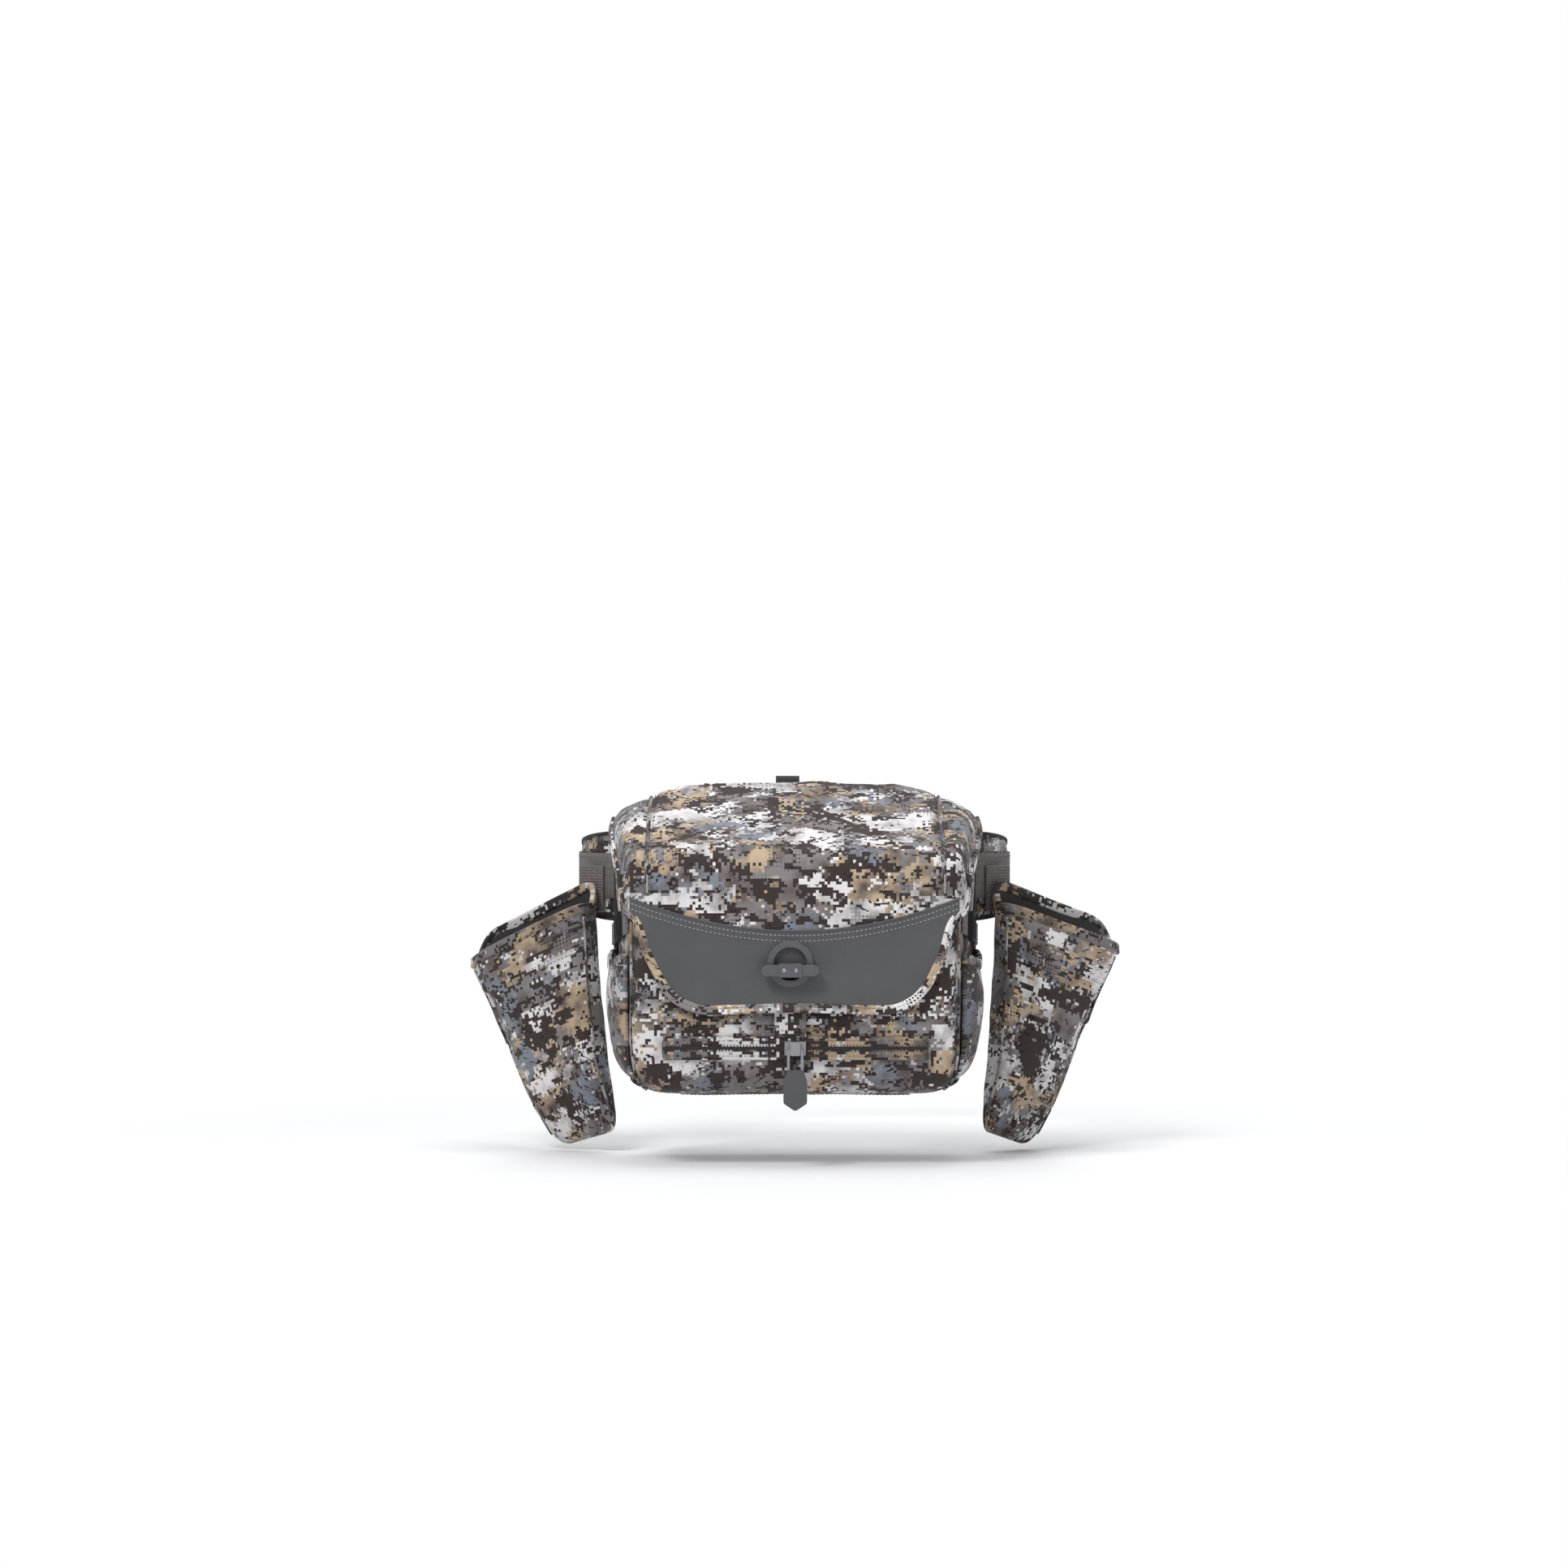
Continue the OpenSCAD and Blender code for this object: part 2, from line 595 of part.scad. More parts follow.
function rim_fall(side) = side < 0 ? 50 : 38;
function foot_u(side) = side < 0 ? -18 : -8;
function raised(foot, rim, lift) = rim + (rim - foot) * lift / (rim.y - foot.y);
function pouch_outline(side, lift) =
    let (foot = [foot_u(side), pouch_foot_z], low = [pouch_low_u, pouch_low_z],
         inner = [0, pouch_rim_z], outer = [pouch_w, pouch_rim_z - rim_fall(side)])
    [foot, low, raised(low, outer, lift), raised(foot, inner, lift)];

// Puts a right-hand pouch's panels on the belt: x outward across it, y towards the wearer
module at_pouch(side) on(side) {
    s = rear_s(pouch_place_x);
    corner = belt_pt(s, web_in + web_t + seam);
    lean = turned([0, strap_t + seam], pouch_turn);
    translate([corner.x - lean.x, corner.y - lean.y, 0]) rotate(pouch_turn) children();
}
module pouch_sheet(side, lift, y0, y1) along_y(y0, y1)
    polygon(rounded(pouch_outline(side, lift), [20, 22, 2, 2]));
module pouch_outer(side) color("#77716a") at_pouch(side)
    pouch_sheet(side, 0, -pouch_t, -pouch_t + pouch_wall);
module pouch_inner(side) color("#5f5a55") at_pouch(side)
    pouch_sheet(side, pouch_back_rise, -pouch_wall, 0);
module pouch_gusset(side) color("#4b4743") at_pouch(side) difference() {
    pouch_sheet(side, 0, -pouch_t + pouch_wall + seam, -pouch_wall - seam);
    along_y(-pouch_t, 0) polygon(rounded(grown(pouch_outline(side, far / 4), -pouch_wall),
        [20 - pouch_wall, 22 - pouch_wall, 0, 0]));
}
module rim_bar(side, lift, y0, y1) {
    low = pouch_outline(side, lift + seam);
    high = pouch_outline(side, lift + seam + rim_h);
    along_y(y0, y1) polygon([low[3], low[2], high[2], high[3]]);
}
module pouch_rim(side) color("#8a837b") at_pouch(side) {
    rim_bar(side, 0, -pouch_t - 1, -pouch_t + pouch_wall + 1);
    rim_bar(side, pouch_back_rise, -pouch_wall - 1, 0);
}
module pouch_tab(side) color("#8b8480") at_pouch(side)
    block([0, seam, pouch_tab_z], [pouch_tab_w, seam + strap_t, pouch_hinge_z + 1]);

// --- buckle -----------------------------------------------------------------

cavity_t = buckle_t - 2 * socket_wall;
cavity_h = buckle_h - 2 * socket_wall;
window_x0 = 11;
window_x1 = 27;
module buckle_socket() color("#4c4c50") translate([0, buckle_y, 0]) difference() {
    block([seam, -buckle_t / 2, -buckle_h / 2], [socket_l, buckle_t / 2, buckle_h / 2]);
    block([-1, -cavity_t / 2, -cavity_h / 2], [socket_l - 4, cavity_t / 2, cavity_h / 2]);
    block([window_x0, -cavity_t / 2, -far], [window_x1, cavity_t / 2, far]);
    block([socket_l - 1, -web_t / 2 - seam, -web_w / 2 - seam], [socket_l + 1, web_t / 2 + seam, web_w / 2 + seam]);
}
module buckle_plug() color("#4c4c50") translate([0, buckle_y, 0]) difference() {
    union() {
        block([-web_end_x, -buckle_t / 2, -buckle_h / 2], [-web_end_x + plug_l, buckle_t / 2, buckle_h / 2]);
        block([-web_end_x + plug_l - 1, -cavity_t / 2 + seam, -4], [socket_l - 8, cavity_t / 2 - seam, 4]);
    }
    block([-web_end_x + 5, -far, -web_w / 2], [-web_end_x + 9, far, web_w / 2]);
    block([-web_end_x + 12, -far, -web_w / 2], [-web_end_x + 16, far, web_w / 2]);
}
module prong(side) color("#5a5a5e") translate([0, buckle_y, 0]) mirror([0, 0, side < 0 ? 1 : 0])
    along_y(-cavity_t / 2 + seam, cavity_t / 2 - seam) polygon([
        [prong_base_x - 4.7, prong_pivot_z - prong_w / 2], [prong_reach - 6, prong_pivot_z - prong_w / 2],
        [prong_reach, prong_pivot_z + 2], [window_x0 + 1, buckle_h / 2], [window_x0 + 1, prong_pivot_z + prong_w / 2],
        [prong_base_x - 4.7, prong_pivot_z + prong_w / 2]]);

back_panel();
frame_sheet();
lumbar_pad(-1);  // lumbar_pad_left
lumbar_pad(1);  // lumbar_pad_right
base_panel();
side_panel(-1);  // side_panel_left
side_panel(1);  // side_panel_right
front_panel();
front_pocket();
pocket_zip();
closure_strap();
side_pocket(-1);  // side_pocket_left
side_pocket(1);  // side_pocket_right
side_strap(-1);  // side_strap_left
side_strap(1);  // side_strap_right
side_lock(-1);  // side_lock_left
side_lock(1);  // side_lock_right
hang_loop();
hip_wing(-1);  // hip_wing_left
hip_wing(1);  // hip_wing_right
belt_web(-1);  // belt_web_left
belt_web(1);  // belt_web_right
web_glide(-1);  // web_glide_left
web_glide(1);  // web_glide_right
buckle_socket();
buckle_plug();
prong(1);  // prong_top
prong(-1);  // prong_bottom
lid_top();
lid_gusset(-1);  // lid_gusset_left
lid_gusset(1);  // lid_gusset_right
lid_flap();
flap_panel();
flap_binding();
closure_ring();
ring_plate();
toggle_stem();
toggle_bar();
zip_slider();
pull_bail();
pull_tab();
pouch_outer(-1);  // pouch_left_outer
pouch_inner(-1);  // pouch_left_inner
pouch_gusset(-1);  // pouch_left_gusset
pouch_rim(-1);  // pouch_left_rim
pouch_tab(-1);  // pouch_left_tab
pouch_outer(1);  // pouch_right_outer
pouch_inner(1);  // pouch_right_inner
pouch_gusset(1);  // pouch_right_gusset
pouch_rim(1);  // pouch_right_rim
pouch_tab(1);  // pouch_right_tab
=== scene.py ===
"""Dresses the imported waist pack: soft shells, webbing, trims and hardware around the CAD frame."""

import json
import logging
import math
from dataclasses import dataclass, field
from enum import Enum
from typing import Optional, Sequence

import bmesh
import bpy
import numpy as np
from mathutils import Matrix, Vector, noise

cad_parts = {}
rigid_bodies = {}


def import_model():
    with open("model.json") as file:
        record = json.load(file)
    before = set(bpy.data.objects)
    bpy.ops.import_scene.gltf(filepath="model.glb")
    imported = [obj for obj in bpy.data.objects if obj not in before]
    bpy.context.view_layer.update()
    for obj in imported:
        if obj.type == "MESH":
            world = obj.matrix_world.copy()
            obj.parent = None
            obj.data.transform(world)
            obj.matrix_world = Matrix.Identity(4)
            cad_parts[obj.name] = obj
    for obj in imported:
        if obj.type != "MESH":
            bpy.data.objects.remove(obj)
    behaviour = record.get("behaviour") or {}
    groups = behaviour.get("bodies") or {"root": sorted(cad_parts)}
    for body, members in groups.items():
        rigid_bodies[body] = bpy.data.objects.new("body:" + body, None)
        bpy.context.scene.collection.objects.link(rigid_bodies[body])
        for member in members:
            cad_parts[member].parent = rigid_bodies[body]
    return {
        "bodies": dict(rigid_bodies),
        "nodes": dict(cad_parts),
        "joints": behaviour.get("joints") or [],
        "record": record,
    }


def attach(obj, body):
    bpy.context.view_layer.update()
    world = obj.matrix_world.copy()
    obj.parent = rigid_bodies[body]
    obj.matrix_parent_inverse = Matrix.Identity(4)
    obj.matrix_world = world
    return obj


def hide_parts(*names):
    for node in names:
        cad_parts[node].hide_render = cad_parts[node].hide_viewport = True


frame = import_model()

LOG = logging.getLogger("waist_pack")
Array = np.ndarray


class Side(Enum):
    """Side of the pack, with the sign of its X."""

    LEFT = -1
    RIGHT = 1

    @property
    def word(self) -> str:
        """Returns the side's lower-case name."""
        return self.name.lower()


# ---------------------------------------------------------------- materials


class Graph:
    """A short way to write a material's nodes."""

    def __init__(self, name: str) -> None:
        """Starts an empty material with a Principled shader.

        Args:
            name: the material's name.
        """
        self.material = bpy.data.materials.new(name)
        self.material.use_nodes = True
        self.tree = self.material.node_tree
        self.shader = self.tree.nodes["Principled BSDF"]

    def node(self, kind: str, inputs: Optional[dict] = None, **settings):
        """Adds a node.

        Args:
            kind: the node's type name, without ShaderNode.
            inputs: socket name or number to a value or a socket to link.
            settings: properties of the node.

        Returns:
            The node.
        """
        made = self.tree.nodes.new("ShaderNode" + kind)
        for key, value in settings.items():
            setattr(made, key, value)
        for key, value in (inputs or {}).items():
            self.feed(made.inputs[key], value)
        return made

    def feed(self, socket, value) -> None:
        """Links a socket to an input, or sets its value."""
        if isinstance(value, bpy.types.NodeSocket):
            self.tree.links.new(value, socket)
        else:
            socket.default_value = value

    def math(self, operation: str, a, b=0.0, c=0.0):
        """Returns the output of a Math node on a, b and c."""
        return self.node("Math", {0: a, 1: b, 2: c}, operation=operation).outputs[0]

    def vector(self, operation: str, a, b=(0.0, 0.0, 0.0)):
        """Returns the output of a Vector Math node on a and b."""
        return self.node("VectorMath", {0: a, 1: b}, operation=operation).outputs[0]

    def scaled(self, a, factors: Sequence[float]):
        """Returns a vector multiplied by factors."""
        return self.vector("MULTIPLY", a, tuple(factors))

    def noise(self, where, scale: float, detail: float = 2.0, rough: float = 0.5):
        """Returns a noise value at a place."""
        return self.node("TexNoise", {"Vector": where, "Scale": scale, "Detail": detail,
                                      "Roughness": rough}).outputs[0]

    def above(self, value, threshold):
        """Returns 1 where a value is over a threshold."""
        return self.math("GREATER_THAN", value, threshold)

    def mix(self, factor, a, b):
        """Returns colour a turned to colour b by a factor."""
        made = self.node("Mix", data_type="RGBA")
        self.feed(made.inputs[0], factor)
        self.feed(made.inputs[6], a)
        self.feed(made.inputs[7], b)
        return made.outputs[2]

    def lit(self, colour, amount):
        """Returns a colour made brighter or darker by an amount."""
        made = self.node("VectorMath", operation="SCALE")
        self.feed(made.inputs[0], colour)
        self.feed(made.inputs["Scale"], amount)
        return made.outputs[0]

    def bump(self, height, strength: float, distance: float, under=None):
        """Returns a bumped normal, on top of another one if it is given."""
        inputs = {"Height": height, "Strength": strength, "Distance": distance}
        if under is not None:
            inputs["Normal"] = under
        return self.node("Bump", inputs).outputs[0]

    def place(self, on_cloth: bool):
        """Returns the cloth's own coordinates in metres, or the object's."""
        out = self.node("TexCoord").outputs
        return out["UV"] if on_cloth else out["Object"]

    def finish(self, colour, roughness, normal=None, **values) -> bpy.types.Material:
        """Feeds the shader.

        Args:
            colour: base colour or a socket.
            roughness: roughness or a socket.
            normal: a bumped normal.
            values: other shader inputs by name, with _ for a space.

        Returns:
            The material.
        """
        self.feed(self.shader.inputs["Base Color"], colour)
        self.feed(self.shader.inputs["Roughness"], roughness)
        if normal is not None:
            self.feed(self.shader.inputs["Normal"], normal)
        for key, value in values.items():
            self.feed(self.shader.inputs[key.replace("_", " ")], value)
        return self.material


def srgb(red: int, green: int, blue: int) -> tuple[float, float, float, float]:
    """Returns a linear colour for an 8-bit screen colour."""
    def linear(value: int) -> float:
        """Returns one linear channel."""
        part = value / 255
        return part / 12.92 if part <= 0.04045 else ((part + 0.055) / 1.055) ** 2.4
    return linear(red), linear(green), linear(blue), 1.0


@dataclass(frozen=True)
class Camouflage:
    """Printed cloth: soft patches broken into square blocks, dots and dry-grass strokes.

    Attributes:
        name: the material's name.
        shift: where on the roll this piece was cut, in metres.
        tone: brightness of the print.
        block: width of the print's smallest square, in metres.
    """

    name: str
    shift: tuple[float, float, float] = (0.0, 0.0, 0.0)
    tone: float = 1.0
    block: float = 0.0023
    bark: tuple = srgb(58, 48, 46)
    umber: tuple = srgb(92, 81, 76)
    khaki: tuple = srgb(186, 164, 138)
    haze: tuple = srgb(132, 127, 127)
    slate: tuple = srgb(128, 133, 143)
    frost: tuple = srgb(226, 222, 221)
    soot: tuple = srgb(34, 28, 28)

    def make(self) -> bpy.types.Material:
        """Returns the material."""
        g = Graph(self.name)
        cloth = g.vector("ADD", g.place(True), self.shift)
        square = g.vector("SNAP", cloth, (self.block,) * 3)
        fine = g.vector("SNAP", cloth, (self.block / 2,) * 3)
        jitter = g.node("TexWhiteNoise", {"Vector": square}, noise_dimensions="3D").outputs[0]
        jitter = g.math("MULTIPLY_ADD", jitter, 0.07, -0.035)

        def patch(offset: Sequence[float], scale: float, stretch: float, level: float):
            """Returns a mask of blocky patches."""
            at = g.scaled(g.vector("ADD", square, offset), (1.0, stretch, 1.0))
            return g.above(g.math("ADD", g.noise(at, scale, 5, 0.62), jitter), level)

        def shaded(deep: tuple, pale: tuple, offset: Sequence[float]):
            """Returns a colour that fades softly between two tones."""
            soft = g.noise(g.vector("ADD", cloth, offset), 38, 3, 0.55)
            fade = g.node("MapRange", {"Value": soft, "From Min": 0.33, "From Max": 0.56}).outputs[0]
            return g.mix(fade, deep, pale)

        colour = g.mix(patch((0, 0, 0), 21, 1.3, 0.495), self.bark, shaded(self.umber, self.haze, (2, 2, 1)))
        colour = g.mix(patch((3, 1, 2), 17, 1.2, 0.535), colour, shaded(self.umber, self.khaki, (1, 5, 2)))
        colour = g.mix(patch((7, 5, 4), 16, 1.1, 0.565), colour, shaded(self.umber, self.slate, (8, 1, 3)))
        colour = g.mix(patch((5, 2, 9), 19, 1.4, 0.535), colour, shaded(self.haze, self.frost, (4, 3, 7)))
        colour = g.mix(patch((2, 6, 1), 46, 2.0, 0.575), colour, self.bark)
        colour = g.mix(patch((6, 3, 8), 60, 2.6, 0.645), colour, shaded(self.haze, self.frost, (6, 6, 2)))
        colour = g.mix(self.dots(g, cloth), colour, self.bark)
        colour = g.mix(self.strokes(g, cloth), colour, self.soot)
        dash = g.noise(g.scaled(g.vector("ADD", fine, (4, 9, 4)), (0.6, 1.0, 1.0)), 210, 1, 0.4)
        crowd = g.above(g.noise(g.vector("ADD", cloth, (4, 4, 4)), 30, 2), 0.5)
        colour = g.mix(g.math("MULTIPLY", g.above(dash, 0.66), crowd), colour, self.soot)
        # Print brightness (tone) times slow random changes of brightness: painted soft shading gradients over the
        # cloth.
        tone_and_painted_shading = g.math("MULTIPLY_ADD", g.noise(cloth, 11, 3), 0.3, self.tone - 0.15)
        colour = g.lit(colour, tone_and_painted_shading)
        return g.finish(colour, 0.82, self.weave(g, cloth), Sheen_Weight=0.12, Specular_IOR_Level=0.25)

    def dots(self, g: Graph, cloth):
        """Returns a mask of printed dots that swell and shrink over the cloth."""
        pitch = 0.0030
        cell = g.vector("FRACTION", g.scaled(cloth, (1 / pitch,) * 3))
        away = g.vector("SUBTRACT", cell, (0.5, 0.5, 0.5))
        flat = g.scaled(away, (1, 1, 0))
        far = g.node("VectorMath", {0: flat}, operation="LENGTH").outputs["Value"]
        swell = g.noise(g.vector("ADD", cloth, (9, 3, 6)), 26, 2)
        size = g.math("MULTIPLY_ADD", swell, 2.6, -1.5)
        return g.math("LESS_THAN", far, g.math("MINIMUM", size, 0.33))

    def strokes(self, g: Graph, cloth):
        """Returns a mask of thin leaning strokes like dry grass."""
        lean = g.node("VectorRotate", {"Vector": cloth, "Angle": 1.1}, rotation_type="Z_AXIS").outputs[0]
        thin = g.noise(g.scaled(lean, (1.0, 0.16, 1.0)), 620, 2, 0.6)
        where = g.noise(g.vector("ADD", cloth, (6, 9, 2)), 19, 3)
        return g.math("MULTIPLY", g.above(thin, 0.60), g.above(where, 0.565))

    def weave(self, g: Graph, cloth):
        """Returns the normal of a fine plain weave with soft puckers."""
        threads = g.node("TexVoronoi", {"Vector": cloth, "Scale": 1500.0}).outputs[0]
        rough = g.bump(threads, 0.25, 0.00025)
        return g.bump(g.noise(cloth, 120, 3), 0.22, 0.0012, rough)


@dataclass(frozen=True)
class Cloth:
    """Plain woven or coated cloth in one colour.

    Attributes:
        name: the material's name.
        colour: base colour.
        grain: grains per metre.
        depth: strength of the grain.
        roughness: surface roughness.
        on_cloth: whether the grain follows the piece's own coordinates.
    """

    name: str
    colour: tuple
    grain: float = 1400.0
    depth: float = 0.3
    roughness: float = 0.7
    on_cloth: bool = True

    def make(self) -> bpy.types.Material:
        """Returns the material."""
        g = Graph(self.name)
        cloth = g.place(self.on_cloth)
        cells = g.node("TexVoronoi", {"Vector": cloth, "Scale": self.grain}).outputs[0]
        shade = g.math("MULTIPLY_ADD", g.noise(cloth, 22, 4), 0.5, 0.0)
        dark = tuple(0.72 * c for c in self.colour[:3]) + (1,)
        light = tuple(min(1.0, 1.28 * c) for c in self.colour[:3]) + (1,)
        soft = g.math("ADD", shade, g.math("MULTIPLY", cells, 0.35))
        normal = g.bump(g.noise(cloth, 160, 3), 0.15, 0.0008, g.bump(cells, self.depth, 0.0003))
        rough = g.math("MULTIPLY_ADD", g.noise(cloth, 55, 3), 0.2, self.roughness - 0.1)
        return g.finish(g.mix(soft, dark, light), rough, normal, Specular_IOR_Level=0.35)


@dataclass(frozen=True)
class Webbing:
    """Flat woven tape whose ribs follow its length.

    Attributes:
        name: the material's name.
        colour: base colour.
        rib: ribs per metre along the tape.
    """

    name: str
    colour: tuple
    rib: float = 820.0

    def make(self) -> bpy.types.Material:
        """Returns the material."""
        g = Graph(self.name)
        uv = g.place(True)
        parts = g.node("SeparateXYZ", {0: uv}).outputs
        across = g.math("PINGPONG", g.math("MULTIPLY", parts[1], 330.0), 1.0)
        along = g.math("MULTIPLY_ADD", parts[0], self.rib, g.math("MULTIPLY", across, 0.8))
        ribs = g.math("PINGPONG", along, 1.0)
        height = g.math("MULTIPLY", ribs, g.math("MULTIPLY_ADD", across, 0.4, 0.6))
        fuzz = g.noise(uv, 900, 2)
        dark = tuple(0.4 * c for c in self.colour[:3]) + (1,)
        shade = g.math("ADD", g.math("MULTIPLY", height, 0.95), g.math("MULTIPLY", fuzz, 0.3))
        return g.finish(g.mix(shade, dark, self.colour), 0.75, g.bump(height, 0.9, 0.0006), Sheen_Weight=0.1)


@dataclass(frozen=True)
class SpacerMesh:
    """Open knitted mesh over foam.

    Attributes:
        name: the material's name.
        colour: colour of the yarn.
        pitch: distance between two rows of openings, in metres.
        on_cloth: whether the knit follows the piece's own coordinates.
    """

    name: str
    colour: tuple
    pitch: float = 0.0017
    on_cloth: bool = False

    def make(self) -> bpy.types.Material:
        """Returns the material."""
        g = Graph(self.name)
        where = g.place(self.on_cloth)
        parts = g.node("SeparateXYZ", {0: where}).outputs
        turn = math.pi / self.pitch
        across = g.math("SINE", g.math("MULTIPLY", parts[0], turn))
        along = g.math("SINE", g.math("MULTIPLY", parts[1] if self.on_cloth else parts[2], turn))
        knit = g.math("MULTIPLY", across, along)
        hole = g.node("MapRange", {"Value": knit, "From Min": 0.25, "From Max": 0.5}).outputs[0]
        fuzz = g.math("MULTIPLY_ADD", g.noise(where, 70, 4), 0.7, 0.62)
        colour = g.mix(hole, self.colour, tuple(0.2 * c for c in self.colour[:3]) + (1,))
        return g.finish(g.lit(colour, fuzz), 0.85, g.bump(g.math("MULTIPLY", knit, -1.0), 0.7, 0.0008),
                        Sheen_Weight=0.15)


@dataclass(frozen=True)
class Moulding:
    """Moulded or coated hard part with a fine grain.

    Attributes:
        name: the material's name.
        colour: base colour.
        roughness: surface roughness.
        metallic: 1 for bare metal.
    """

    name: str
    colour: tuple
    roughness: float = 0.45
    metallic: float = 0.0

    def make(self) -> bpy.types.Material:
        """Returns the material."""
        g = Graph(self.name)
        where = g.place(False)
        grain = g.noise(where, 1800, 2)
        scuff = g.noise(where, 140, 5, 0.7)
        light = tuple(min(1.0, 1.35 * c + 0.01) for c in self.colour[:3]) + (1,)
        rough = g.math("MULTIPLY_ADD", scuff, 0.25, self.roughness - 0.12)
        return g.finish(g.mix(g.math("MULTIPLY", scuff, 0.6), self.colour, light), rough,
                        g.bump(grain, 0.12, 0.0003), Metallic=self.metallic)


class Finishes:
    """All the finishes, made once and found by key."""

    def __init__(self) -> None:
        """Makes the plain finishes."""
        plain = {
            "laminate": Cloth("laminate", srgb(86, 86, 88), 2400, 0.16, 0.62),
            "lining": Cloth("lining", srgb(58, 56, 55), 1300, 0.3, 0.8),
            "webbing": Webbing("webbing", srgb(122, 115, 113)),
            "black_webbing": Webbing("black_webbing", srgb(34, 33, 33)),
            "mesh": SpacerMesh("mesh", srgb(86, 84, 82)),
            "wing_mesh": SpacerMesh("wing_mesh", srgb(86, 84, 82), on_cloth=True),
            "sheet": Moulding("sheet", srgb(38, 38, 38), 0.5),
            "hardware": Moulding("hardware", srgb(84, 84, 88), 0.34),
            "black_plastic": Moulding("black_plastic", srgb(14, 13, 13), 0.7),
            "zip_coil": Cloth("zip_coil", srgb(56, 52, 51), 1500, 0.3, 0.7, False),
            "zip_metal": Moulding("zip_metal", srgb(150, 150, 152), 0.35, 0.6),
            "light_thread": Cloth("light_thread", srgb(168, 166, 166), 3000, 0.2, 0.8, False),
            # Near-black finish of the ring plate: painted shade for the dark hollow inside the closure ring.
            "hollow": Moulding("hollow", srgb(16, 15, 15), 0.8),
            "thread": Cloth("thread", srgb(96, 92, 90), 3000, 0.2, 0.8, False),
        }
        self.made = {key: finish.make() for key, finish in plain.items()}

    def camo(self, name: str, shift: Sequence[float], tone: float = 1.0) -> bpy.types.Material:
        """Returns printed cloth cut from its own place on the roll."""
        key = "camo_" + name
        if key not in self.made:
            self.made[key] = Camouflage(key, tuple(shift), tone).make()
        return self.made[key]

    def piping(self) -> bpy.types.Material:
        """Returns the printed cloth of the sewn piping."""
        return self.camo("piping", (0.7, 0.3, 0), 0.5)

    def tape(self) -> bpy.types.Material:
        """Returns the printed tape of hems, rims, the zip and the closing strap."""
        return self.camo("tape", (0.1, 0.8, 0), 0.78)

    def __getitem__(self, key: str) -> bpy.types.Material:
        """Returns a finish by its key."""
        return self.made[key]


# ---------------------------------------------------------------- shaping


def unit(v: Array) -> Array:
    """Returns vectors scaled to length one."""
    return v / np.maximum(np.linalg.norm(v, axis=-1, keepdims=True), 1e-9)


def smooth(value: Array, low: float, high: float) -> Array:
    """Returns a soft step from 0 at low to 1 at high."""
    t = np.clip((value - low) / (high - low), 0.0, 1.0)
    return t * t * (3 - 2 * t)


def ripple(points: Array, size: float, seed: float) -> Array:
    """Returns smooth noise in -1..1 at points.

    Args:
        points: places in metres.
        size: width of one ripple in metres.
        seed: which noise.
    """
    flat = points.reshape(-1, 3) / size
    out = [noise.noise(Vector((float(x), float(y), float(z) + seed))) for x, y, z in flat]
    return np.array(out).reshape(points.shape[:-1])


def crease(points: Array, start: Sequence[float], end: Sequence[float], width: float) -> Array:
    """Returns 1 on a line between two places, falling to 0 at a width from it."""
    a, b = np.array(start), np.array(end)
    along = np.clip(((points - a) @ (b - a)) / ((b - a) @ (b - a)), 0, 1)
    near = a + along[..., None] * (b - a)
    ends = np.sin(np.pi * np.clip(along * 0.9 + 0.05, 0, 1))
    return np.exp(-(np.linalg.norm(points - near, axis=-1) / width) ** 2) * ends


def eased(path: Array, turns: int = 14) -> Array:
    """Returns a path whose inner places are evened out with their neighbours."""
    for _ in range(turns):
        path[1:-1] = 0.25 * path[:-2] + 0.5 * path[1:-1] + 0.25 * path[2:]
    return path


def facing(path: Array, x: float, y: float, z: float) -> Array:
    """Returns one outward direction for every place of a path or grid."""
    return np.broadcast_to(np.array([x, y, z], float), path.shape)


@dataclass
class SoftForm:
    """The filled bag as flat faces whose meeting edges are rounded, for laying cloth on.

    Attributes:
        planes: unit normals with distances in metres.
        softness: radius-like width of the rounding, in metres.
    """

    planes: Sequence[tuple[float, float, float, float]] = (
        (0.0, -1.0, 0.0, 0.2586), (0.0, -0.4034, 0.915, 0.121),
        (0.9876, -0.1568, 0.0, 0.1705), (-0.9876, -0.1568, 0.0, 0.1705),
        (0.9922, 0.0, -0.1251, 0.1585), (-0.9922, 0.0, -0.1251, 0.1585),
        (0.356, 0.0, 0.9346, 0.1065), (-0.356, 0.0, 0.9346, 0.1065),
        (0.479, 0.0, 0.878, 0.1185), (-0.479, 0.0, 0.878, 0.1185),
        (0.0, -0.7071, -0.7071, 0.2985), (0.7071, 0.0, -0.7071, 0.2125), (-0.7071, 0.0, -0.7071, 0.2125),
        (0.0, 0.0, -1.0, 0.175))
    softness: float = 0.0062

    def depth(self, points: Array) -> Array:
        """Returns how far points lie outside the form."""
        table = np.array(self.planes)
        gaps = points @ table[:, :3].T - table[:, 3]
        top = gaps.max(axis=-1)
        soft = np.exp((gaps - top[..., None]) / self.softness).sum(axis=-1)
        return top + self.softness * np.log(soft)

    def cast(self, start: Array, way: Array, grow: float = 0.0) -> Array:
        """Returns where rays from inside meet the form grown by a distance."""
        low, high = np.zeros(start.shape[:-1]), np.full(start.shape[:-1], 0.6)
        for _ in range(34):
            mid = (low + high) / 2
            out = self.depth(start + mid[..., None] * way) > grow
            high, low = np.where(out, mid, high), np.where(out, low, mid)
        return start + ((low + high) / 2)[..., None] * way


